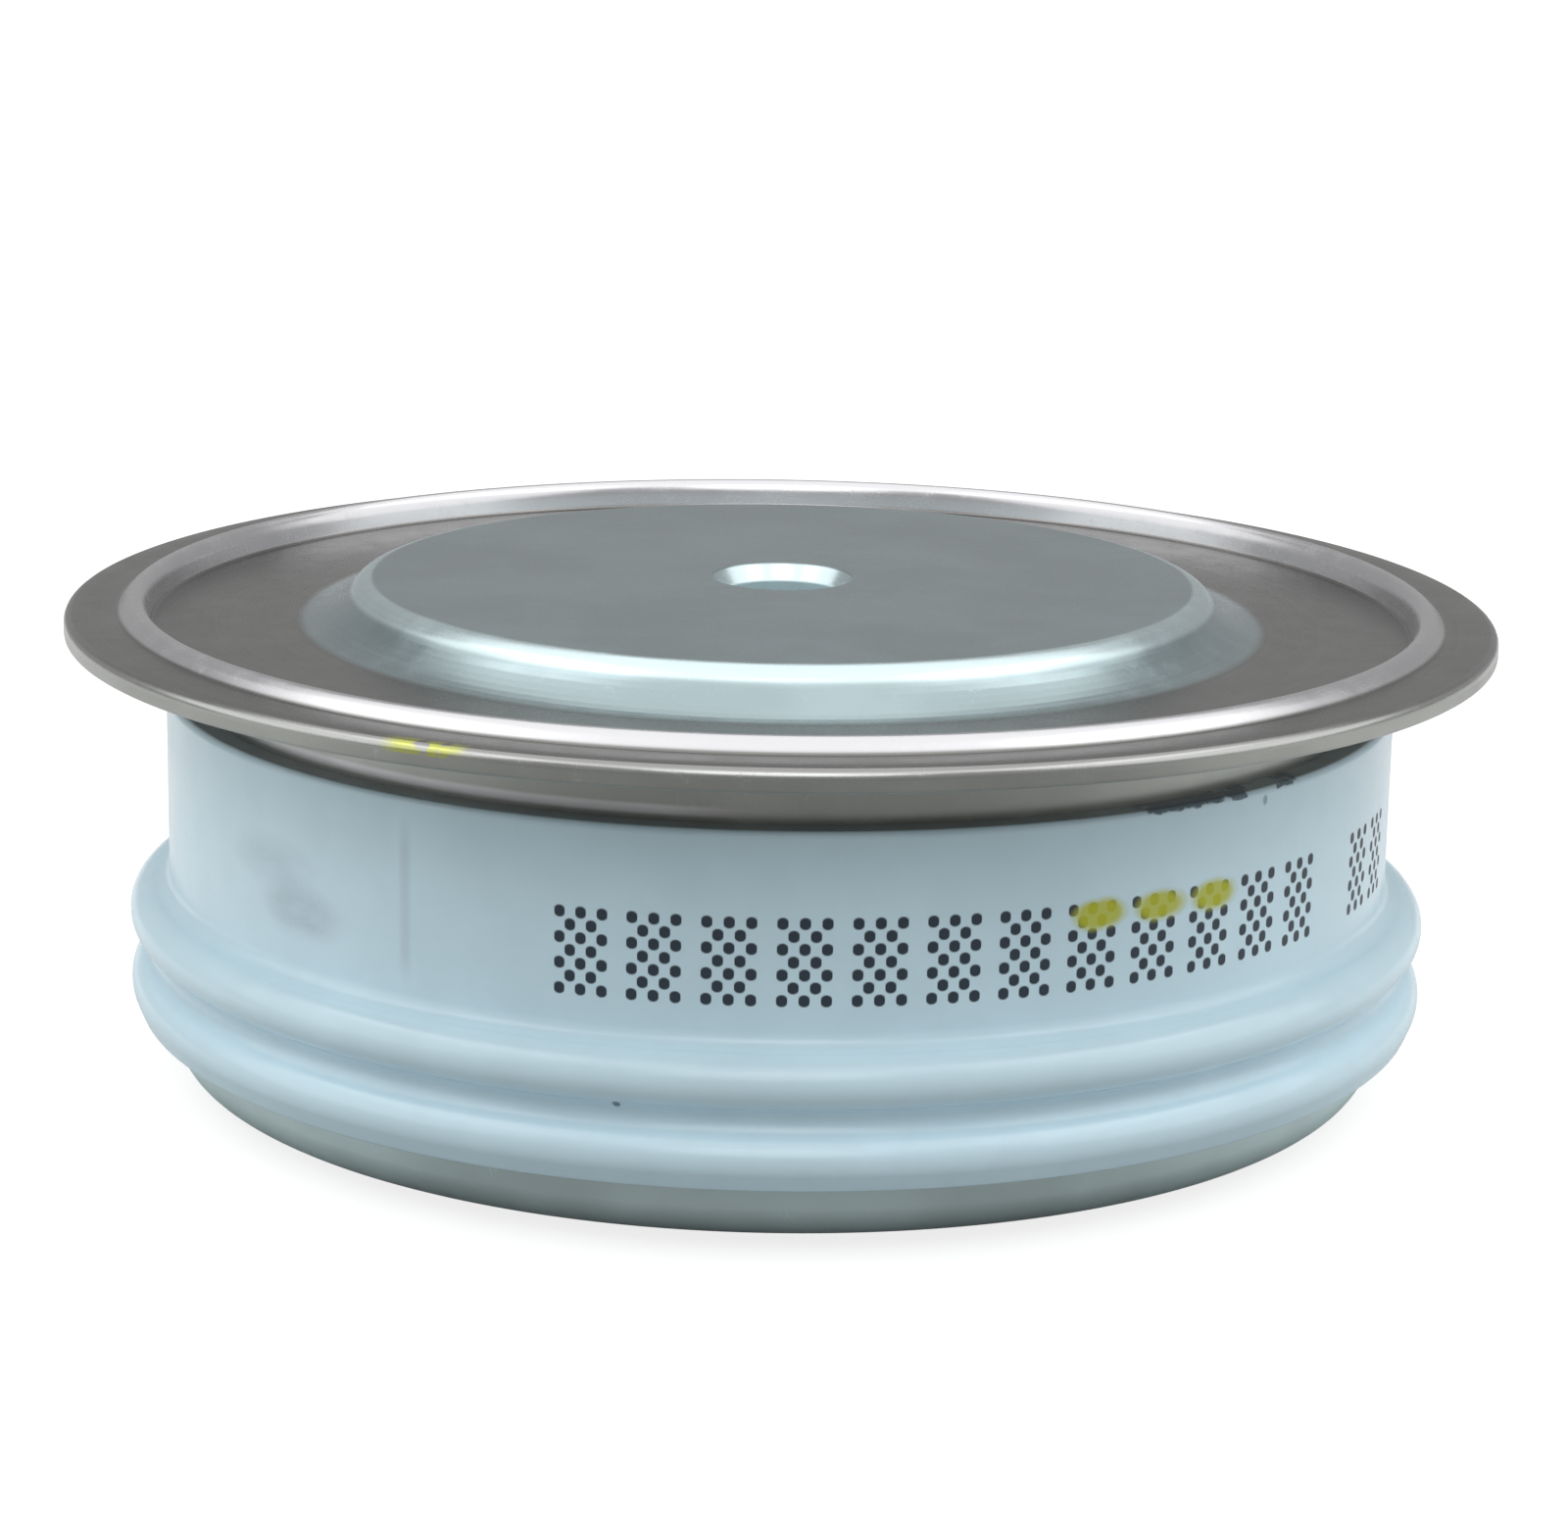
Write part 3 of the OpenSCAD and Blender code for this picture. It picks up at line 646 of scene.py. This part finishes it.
def hold_flats(mesh):
    """Give each long straight run a vertex close to both its corners, so that it stays flat up to them."""
    for edge in [edge for edge in mesh.edges if edge.calc_length() > HELD_RUN]:
        ends = [vert.co.copy() for vert in edge.verts]
        # An open end has no corner, and gets its vertex in the middle of the run
        shares = [0.5 if len(vert.link_edges) == 1 else HOLD / edge.calc_length() for vert in edge.verts]
        cut = bmesh.ops.subdivide_edges(mesh, edges=[edge], cuts=2)
        inner = [item for item in cut["geom_inner"] if isinstance(item, bmesh.types.BMVert)]
        inner.sort(key=lambda vert: (vert.co - ends[0]).length)
        inner[0].co = ends[0].lerp(ends[1], shares[0])
        inner[1].co = ends[1].lerp(ends[0], shares[1])


def spin_round(mesh, facets):
    """Turn an outline about the Z axis and close it at the axis."""
    on_axis = [edge for edge in mesh.edges if all(vert.co.x < SAME_POINT for vert in edge.verts)]
    bmesh.ops.delete(mesh, geom=on_axis, context="EDGES")
    bmesh.ops.spin(
        mesh,
        geom=mesh.verts[:] + mesh.edges[:],
        cent=(0, 0, 0),
        axis=(0, 0, 1),
        dvec=(0, 0, 0),
        angle=2 * pi,
        steps=facets,
        use_merge=True,
        use_duplicate=False,
    )
    bmesh.ops.remove_doubles(mesh, verts=mesh.verts, dist=SAME_POINT)
    bmesh.ops.dissolve_degenerate(mesh, edges=mesh.edges, dist=SAME_POINT)
    bmesh.ops.recalc_face_normals(mesh, faces=mesh.faces)


def finish_piece(name, mesh, material, node):
    """Make an object of the mesh, give it its finish and let it stand for its CAD node."""
    for face in mesh.faces:
        face.smooth = True
    for edge in mesh.edges:
        edge.smooth = edge.calc_face_angle(0.0) < SHARP
    data = bpy.data.meshes.new(name)
    mesh.to_mesh(data)
    mesh.free()
    data.materials.append(material)
    piece = bpy.data.objects.new(name, data)
    bpy.context.scene.collection.objects.link(piece)
    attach(piece, "root")
    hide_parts(node)


def turned_mesh(corners, facets):
    """Spin a closed outline of corners into a solid piece."""
    mesh = rounded_outline(corners)
    hold_flats(mesh)
    spin_round(mesh, facets)
    return mesh


def formed_mesh(path, sheet, facets, up):
    """Spin the path of one face of a sheet, and give the sheet its thickness upwards or downwards."""
    mesh = rounded_outline(path, closed=False)
    hold_flats(mesh)
    spin_round(mesh, facets)
    level = sum(face.normal.z * face.calc_area() for face in mesh.faces)
    if (level > 0) != up:
        bmesh.ops.reverse_faces(mesh, faces=mesh.faces)
    bmesh.ops.solidify(mesh, geom=mesh.faces, thickness=sheet)
    bmesh.ops.recalc_face_normals(mesh, faces=mesh.faces)
    return mesh


def round_ring(mesh, across, up, rounding, segments):
    """Round the circular edges at one radius and height."""

    def on_ring(vert):
        return abs(vert.co.xy.length - across) < SAME_RING and abs(vert.co.z - up) < SAME_RING

    ring = [edge for edge in mesh.edges if all(on_ring(vert) for vert in edge.verts)]
    if not ring:
        raise RuntimeError(f"no ring of edges at radius {across:.5f} and height {up:.5f}")
    bmesh.ops.bevel(
        mesh,
        geom=ring,
        offset=rounding,
        offset_type="OFFSET",
        segments=segments,
        profile=0.5,
        affect="EDGES",
        material=-1,
        clamp_overlap=True,
    )


# Pieces


def settings_of(context):
    return context.scene.thyristor


def turn_with(cosine):
    """The turn between 0 and half a circle that has this cosine."""
    return Vector((1, 0)).angle(Vector((cosine, sqrt(1 - cosine * cosine))))


def flank_of(poles):
    """Corner radii of the cathode pole's flank and the radius where it meets the lid."""
    both = poles.cathode_edge + poles.flank
    lean = turn_with(1 - poles.stand / both)
    outer = poles.contact + poles.cathode_edge * tan(lean / 2)
    foot = poles.contact + both * sin(lean)
    return outer, foot - poles.flank * tan(lean / 2), foot


class THYRISTOR_OT_cathode_pole(bpy.types.Operator):
    """Turn the cathode pole with its contact face, flank, ledge and gate pocket"""

    bl_idname = "thyristor.cathode_pole"
    bl_label = "Cathode Pole"

    def execute(self, context):
        settings = settings_of(context)
        poles, shades = settings.poles, settings.finishes
        edge, hollow, foot = flank_of(poles)
        web = poles.top - poles.stand
        seat = low("cathode_lid").z
        nose = low("cathode_pole").z
        ledge = foot + poles.ledge_width
        corners = [
            (0, poles.top - poles.hole_depth, 0),
            (poles.hole, poles.top - poles.hole_depth, poles.hole_floor),
            (poles.hole, poles.top - poles.hole_lead, poles.lead_foot),
            (poles.hole + poles.hole_chamfer, poles.top, poles.lead_top),
            (edge, poles.top, poles.cathode_edge),
            (hollow, web, poles.flank),
            (foot, web, 0),
            (foot, seat, 0),
            (ledge, seat, 0),
            (ledge, seat - poles.ledge_sheet, 0),
            (poles.body, seat - poles.ledge_sheet, 0),
            (poles.body, nose + poles.nose_height, 0),
            (poles.nose, nose + poles.nose_height, 0),
            (poles.nose, nose, 0),
            (poles.pocket, nose, 0),
            (poles.pocket, nose + poles.pocket_depth, 0),
            (0, nose + poles.pocket_depth, 0),
        ]
        finish = plated("contact_nickel", shades.pole, rough=0.28, marks=pole_marks(poles, shades))
        mesh = turned_mesh(corners, settings.facets)
        finish_piece("cathode_contact", mesh, finish, "cathode_pole")
        return {"FINISHED"}


class THYRISTOR_OT_lid(bpy.types.Operator):
    """Form the lid from sheet with its web, ridge and rim"""

    bl_idname = "thyristor.lid"
    bl_label = "Lid"

    def execute(self, context):
        settings = settings_of(context)
        poles, sheets, shades = settings.poles, settings.sheets, settings.finishes
        foot = flank_of(poles)[2]
        web = poles.top - poles.stand
        rim_top = poles.top - sheets.rim_drop
        crest = sheets.lid_bend + sheets.lid_sheet
        middle = (sheets.ridge_inner + sheets.ridge_outer) / 2
        lean = (sheets.ridge_inner - sheets.ridge_outer) / 2
        peak = Vector((sheets.rim - sheets.ridge_inset, rim_top + sheets.ridge_height - crest))
        peak += crest / cos(middle) * Vector((-sin(lean), cos(lean)))
        path = [
            (foot, web, 0),
            (peak.x - (peak.y - web) / tan(sheets.ridge_inner), web, sheets.lid_bend),
            (peak.x, peak.y, crest),
            (peak.x + (peak.y - rim_top) / tan(sheets.ridge_outer), rim_top, sheets.lid_bend),
            (sheets.rim, rim_top, 0),
        ]
        mesh = formed_mesh(path, sheets.lid_sheet, settings.facets, up=True)
        round_ring(mesh, sheets.rim, rim_top, sheets.rim_edge, segments=6)
        finish = plated("lid_nickel", shades.lid, rough=0.26, marks=lid_marks(poles, sheets, shades))
        finish_piece("lid_sheet", mesh, finish, "cathode_lid")
        return {"FINISHED"}


class THYRISTOR_OT_weld_ring(bpy.types.Operator):
    """Form the weld ring from sheet with its foot, collar, cone and rim"""

    bl_idname = "thyristor.weld_ring"
    bl_label = "Weld Ring"

    def execute(self, context):
        settings = settings_of(context)
        sheets, shades = settings.sheets, settings.finishes
        foot, under = low("weld_ring").z, high("weld_ring").z - sheets.ring_sheet
        collar_top = low("cathode_lid").z - sheets.collar_drop
        path = [
            (sheets.ring_start, foot, 0),
            (sheets.ring_foot, foot, 0),
            (sheets.ring_foot + sheets.collar_run, collar_top, sheets.ring_bend),
            (sheets.rim - sheets.ring_rim, under, sheets.ring_bend),
            (sheets.rim, under, 0),
        ]
        mesh = formed_mesh(path, sheets.ring_sheet, settings.facets, up=False)
        round_ring(mesh, sheets.rim, under, sheets.ring_edge, segments=4)
        finish = plated("ring_nickel", shades.ring, rough=0.34, marks=ring_marks(sheets, foot, shades))
        finish_piece("weld_ring_sheet", mesh, finish, "weld_ring")
        return {"FINISHED"}


class THYRISTOR_OT_ceramic_ring(bpy.types.Operator):
    """Turn the ribbed ceramic ring and glaze it"""

    bl_idname = "thyristor.ceramic_ring"
    bl_label = "Ceramic Ring"

    def execute(self, context):
        settings = settings_of(context)
        sizes, shades = settings.ceramic, settings.finishes
        base, top = low("ceramic_ring").z, high("ceramic_ring").z
        depth, pitch, crest, slope = sizes.rib_depth, sizes.rib_pitch, sizes.crest, sizes.foot_slope
        groove = (depth * depth + pitch * pitch / 4) / (2 * depth) - crest
        crest_axis = sizes.rib - crest
        groove_axis = sizes.rib - depth + groove
        shoulder_axis = sizes.neck + sizes.shoulder
        first = base + sizes.rib_base
        rise = sqrt((crest + sizes.shoulder) ** 2 - (shoulder_axis - crest_axis) ** 2)
        turn = Vector((groove_axis - crest_axis, pitch / 2)).angle(Vector((1, 0)))
        over = Vector((shoulder_axis - crest_axis, rise)).angle(Vector((1, 0)))
        foot = crest_axis + crest * sin(slope) - (sizes.rib_base - crest * cos(slope)) / tan(slope)
        corners = [
            (sizes.bore, base, sizes.end_edge),
            (foot, base, sizes.end_edge),
            *arc_corners(crest_axis, first, slope - pi / 2, turn, crest),
            *arc_corners(groove_axis, first + pitch / 2, pi + turn, pi - turn, groove),
            *arc_corners(crest_axis, first + pitch, -turn, over, crest),
            *arc_corners(shoulder_axis, first + pitch + rise, pi + over, pi, sizes.shoulder),
            (sizes.neck, top, sizes.neck_edge),
            (sizes.bore, top, sizes.end_edge),
        ]
        mesh = turned_mesh(corners, settings.facets)
        finish = glazed_ceramic(sizes, shades, top)
        finish_piece("ceramic_body", mesh, finish, "ceramic_ring")
        return {"FINISHED"}


class THYRISTOR_OT_anode_flange(bpy.types.Operator):
    """Form the anode flange from sheet with its floor and skirt"""

    bl_idname = "thyristor.anode_flange"
    bl_label = "Anode Flange"

    def execute(self, context):
        settings = settings_of(context)
        poles, sheets, shades = settings.poles, settings.sheets, settings.finishes
        base, top = low("anode_flange").z, high("anode_flange").z
        inner = poles.contact + poles.anode_edge
        wall = sheets.flange - sheets.flange_sheet
        corners = [
            (inner, base, 0),
            (sheets.flange, base, sheets.flange_bend + sheets.flange_sheet),
            (sheets.flange, top, sheets.flange_end),
            (wall, top, 0),
            (wall, base + sheets.flange_sheet, sheets.flange_bend),
            (inner, base + sheets.flange_sheet, 0),
        ]
        mesh = turned_mesh(corners, settings.facets)
        finish = plated("flange_nickel", shades.flange, rough=0.38)
        finish_piece("anode_flange_sheet", mesh, finish, "anode_flange")
        return {"FINISHED"}


class THYRISTOR_OT_anode_pole(bpy.types.Operator):
    """Turn the anode pole with its contact face and centring hole"""

    bl_idname = "thyristor.anode_pole"
    bl_label = "Anode Pole"

    def execute(self, context):
        settings = settings_of(context)
        poles, shades = settings.poles, settings.finishes
        top = high("anode_pole").z
        body = high("anode_pole").x
        shoulder = low("anode_flange").z + settings.sheets.flange_sheet
        disc = high("anode_disc").x
        boss = poles.contact + poles.anode_edge
        corners = [
            (0, top, 0),
            (disc, top, poles.step_edge),
            (disc, top - poles.anode_step, 0),
            (body, top - poles.anode_step, 0),
            (body, shoulder, 0),
            (boss, shoulder, 0),
            (boss, 0, poles.anode_edge),
            (poles.hole + poles.hole_chamfer, 0, poles.lead_top),
            (poles.hole, poles.hole_lead, poles.lead_foot),
            (poles.hole, poles.hole_depth, poles.hole_floor),
            (0, poles.hole_depth, 0),
        ]
        mesh = turned_mesh(corners, settings.facets)
        finish = plated("anode_nickel", shades.pole, rough=0.28)
        finish_piece("anode_contact", mesh, finish, "anode_pole")
        return {"FINISHED"}


class THYRISTOR_OT_gate_terminal(bpy.types.Operator):
    """Turn the gate terminal and the ferrule that it is brazed into"""

    bl_idname = "thyristor.gate_terminal"
    bl_label = "Gate Terminal"

    def execute(self, context):
        settings = settings_of(context)
        gate, shades = settings.gate, settings.finishes
        pin_low, pin_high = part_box("gate_terminal")
        ring_low, ring_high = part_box("gate_ferrule")
        facets = settings.facets // 4
        lift = Matrix.Translation((0, 0, (pin_low.z + pin_high.z) / 2))
        lay_down = lift @ Matrix.Rotation(-pi / 2, 4, "X")
        terminal = [
            (0, pin_low.y, 0),
            (gate.stem, pin_low.y, gate.stem_edge),
            (gate.stem, ring_high.y, 0),
            (pin_high.x, ring_high.y, gate.stem_edge),
            (pin_high.x, pin_high.y, gate.tip_edge),
            (0, pin_high.y, 0),
        ]
        mesh = turned_mesh(terminal, facets)
        bmesh.ops.transform(mesh, matrix=lay_down, verts=mesh.verts)
        plating = smooth_metal("gate_plating", shades.gate, rough=0.26)
        finish_piece("gate_terminal_pin", mesh, plating, "gate_terminal")
        ferrule = [
            (gate.stem, ring_low.y, 0),
            (ring_high.x, ring_low.y, 0),
            (ring_high.x, ring_high.y, gate.ferrule_edge),
            (gate.stem, ring_high.y, 0),
        ]
        mesh = turned_mesh(ferrule, facets)
        bmesh.ops.transform(mesh, matrix=lay_down, verts=mesh.verts)
        plating = smooth_metal("ferrule_nickel", shades.ring, rough=0.34)
        finish_piece("gate_ferrule_ring", mesh, plating, "gate_ferrule")
        return {"FINISHED"}


def repaint(material, *nodes):
    """Give CAD nodes that stay as they are a finished material."""
    for name in nodes:
        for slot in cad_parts[name].material_slots:
            slot.material = material


class THYRISTOR_OT_contact_stack(bpy.types.Operator):
    """Finish the shims, discs, wafer, seal and centring ring inside the capsule"""

    bl_idname = "thyristor.contact_stack"
    bl_label = "Contact Stack"

    def execute(self, context):
        shades = settings_of(context).finishes
        repaint(smooth_metal("soft_silver", shades.silver, rough=0.22), "anode_shim", "cathode_shim")
        lapped = smooth_metal("lapped_molybdenum", shades.molybdenum, rough=0.38)
        repaint(lapped, "anode_disc", "cathode_disc")
        repaint(smooth_metal("polished_silicon", shades.silicon, rough=0.12, cells=0.8), "silicon_wafer")
        repaint(moulded("cast_silicone", shades.silicone, rough=0.55), "edge_seal")
        repaint(moulded("white_insulator", shades.insulator, rough=0.42), "centring_ring", "gate_guide_bush")
        return {"FINISHED"}


class THYRISTOR_OT_gate_insert(bpy.types.Operator):
    """Finish the gate pin, spring, cup, lead and sleeve inside the capsule"""

    bl_idname = "thyristor.gate_insert"
    bl_label = "Gate Insert"

    def execute(self, context):
        shades = settings_of(context).finishes
        repaint(smooth_metal("gate_gold", shades.gold, rough=0.24), "gate_pin")
        repaint(smooth_metal("spring_wire", shades.spring, rough=0.26, cells=6.0), "gate_spring")
        repaint(smooth_metal("silver_wire", shades.silver_wire, rough=0.24, cells=5.0), "gate_lead")
        repaint(moulded("pocket_insulator", shades.insulator, rough=0.42), "gate_insulating_cup")
        repaint(moulded("lead_sleeve", shades.sleeve, rough=0.36, cells=3.0), "gate_lead_sleeve")
        return {"FINISHED"}


# Studio


def aim_camera(camera, studio):
    """Set the camera up on its aim point and swing it, so that the point lands on its pixel."""
    pixels = studio.lens * studio.width / camera.data.sensor_width
    ahead = Vector((0, cos(studio.elevation), -sin(studio.elevation)))
    right = Vector((1, 0, 0))
    up = right.cross(ahead)
    place = Vector((0, 0, studio.aim_height)) - studio.distance * ahead
    level, lean = cos(studio.roll), sin(studio.roll)
    right, up = right * level + up * lean, up * level - right * lean
    across = (studio.aim_right - studio.width / 2) / pixels
    down = (studio.aim_down - studio.height / 2) / pixels
    right = (right + across * ahead).normalized()
    ahead = right.cross(up).normalized() * -1
    nod = down / sqrt(1 + across * across)
    ahead, up = (ahead + nod * up).normalized(), (up - nod * ahead).normalized()
    turn = Matrix((right, up, -ahead)).transposed().to_4x4()
    camera.matrix_world = Matrix.Translation(place) @ turn


def soft_lamp(name, place, size, power, aim):
    """A round area lamp that faces a point of the disc's axis."""
    light = bpy.data.lights.new(name, "AREA")
    light.shape = "DISK"
    light.size = size
    light.energy = power
    lamp = bpy.data.objects.new(name, light)
    bpy.context.scene.collection.objects.link(lamp)
    facing = (place - Vector((0, 0, aim))).to_track_quat("Z", "Y").to_matrix().to_4x4()
    lamp.matrix_world = Matrix.Translation(place) @ facing


def light_world(studio):
    """White to the camera, a soft room in what the pieces mirror, and a dim even fill for the rest."""
    world = bpy.data.worlds.new("soft_room")
    bpy.context.scene.world = world
    nodes = Nodes(world)

    def light(strength):
        return nodes.node("ShaderNodeBackground", {}, {"Color": rgba(WHITE), "Strength": strength})

    room = nodes.layered(ray(nodes, "Is Glossy Ray"), light(studio.fill), light(studio.mirrored))
    room = nodes.layered(ray(nodes, "Is Camera Ray"), room, light(studio.backdrop))
    nodes.node("ShaderNodeOutputWorld", {}, {"Surface": room})


def ray(nodes, kind):
    """1 for the rays of one kind."""
    return nodes.node("ShaderNodeLightPath", output=kind)


def floor_material(studio):
    """Pale matt floor. The camera sees it lifted to white, and the soft shadow round the disc stays. The
    pieces see the floor before the disc with a painted shade.
    """
    front, front_soft = 1.0, 0.55  # radians to both sides in which the floor is shaded
    near_share, reach, reach_soft = 0.6, 300.0, 250.0  # lift near the disc, and millimetres to the full one
    finish = Finish("pale_floor")
    seen = ray(finish, "Is Camera Ray")
    # For all rays but the camera's, the floor before the disc is painted darker, a painted shade
    lit = seen + (1 - seen) * abs(finish.turn).above(front, front_soft)
    shade = finish.blend(lit, studio.floor_shade, studio.floor)
    matt = finish.node("ShaderNodeBsdfDiffuse", {}, {"Color": shade})
    white = finish.node("ShaderNodeEmission", {}, {"Color": rgba(WHITE), "Strength": studio.floor_glow})
    share = seen * (near_share + finish.radius.above(reach, reach_soft) * (1 - near_share))
    return finish.close(finish.layered(share, matt, white))


class THYRISTOR_OT_studio(bpy.types.Operator):
    """Set up the floor, the lamps, the backdrop and the camera"""

    bl_idname = "thyristor.studio"
    bl_label = "Studio"

    def execute(self, context):
        studio = settings_of(context).studio
        context.scene.view_settings.view_transform = "Standard"
        light_world(studio)
        mesh = bmesh.new()
        bmesh.ops.create_grid(mesh, x_segments=1, y_segments=1, size=FLOOR_REACH)
        data = bpy.data.meshes.new("floor")
        mesh.to_mesh(data)
        mesh.free()
        data.materials.append(floor_material(studio))
        floor = bpy.data.objects.new("floor", data)
        context.scene.collection.objects.link(floor)
        side = Vector(studio.side_place)
        lamps = (
            ("overhead", Vector(studio.overhead_place), studio.overhead_size, studio.overhead),
            ("left", Vector((-side.x, side.y, side.z)), studio.side_size, studio.sides),
            ("right", side, studio.side_size, studio.sides),
            ("front", Vector(studio.front_place), studio.front_size, studio.front),
        )
        for name, place, size, power in lamps:
            soft_lamp(name, place, size, power, studio.lamp_aim)
        camera = bpy.data.objects.new("camera", bpy.data.cameras.new("camera"))
        camera.data.sensor_width = 36.0
        camera.data.lens = studio.lens
        camera.data.clip_start = 0.001
        context.scene.collection.objects.link(camera)
        aim_camera(camera, studio)
        context.scene.camera = camera
        return {"FINISHED"}


# Add-on


PIECES = (
    THYRISTOR_OT_cathode_pole,
    THYRISTOR_OT_lid,
    THYRISTOR_OT_weld_ring,
    THYRISTOR_OT_ceramic_ring,
    THYRISTOR_OT_anode_flange,
    THYRISTOR_OT_anode_pole,
    THYRISTOR_OT_gate_terminal,
    THYRISTOR_OT_contact_stack,
    THYRISTOR_OT_gate_insert,
    THYRISTOR_OT_studio,
)
GROUPS = (PoleSizes, SheetSizes, CeramicSizes, GateSizes, Finishes, Studio, ThyristorSettings)


class THYRISTOR_PT_sidebar(bpy.types.Panel):
    """Sizes, colours and building steps of the disc thyristor"""

    bl_label = "Disc Thyristor"
    bl_idname = "THYRISTOR_PT_sidebar"
    bl_space_type = "VIEW_3D"
    bl_region_type = "UI"
    bl_category = "Thyristor"

    def draw(self, context):
        settings = settings_of(context)
        self.layout.prop(settings, "facets")
        for group in ("poles", "sheets", "ceramic", "gate", "finishes", "studio"):
            box = self.layout.box()
            box.label(text=group.title())
            values = getattr(settings, group)
            for name in values.__annotations__:
                box.prop(values, name)
        for piece in PIECES:
            self.layout.operator(piece.bl_idname)


def register():
    for cls in (*GROUPS, *PIECES, THYRISTOR_PT_sidebar):
        bpy.utils.register_class(cls)
    bpy.types.Scene.thyristor = PointerProperty(type=ThyristorSettings)


def unregister():
    del bpy.types.Scene.thyristor
    for cls in reversed((*GROUPS, *PIECES, THYRISTOR_PT_sidebar)):
        bpy.utils.unregister_class(cls)


def main():
    register()
    for piece in PIECES:
        group, name = piece.bl_idname.split(".")
        getattr(getattr(bpy.ops, group), name)()


if __name__ == "__main__":
    main()
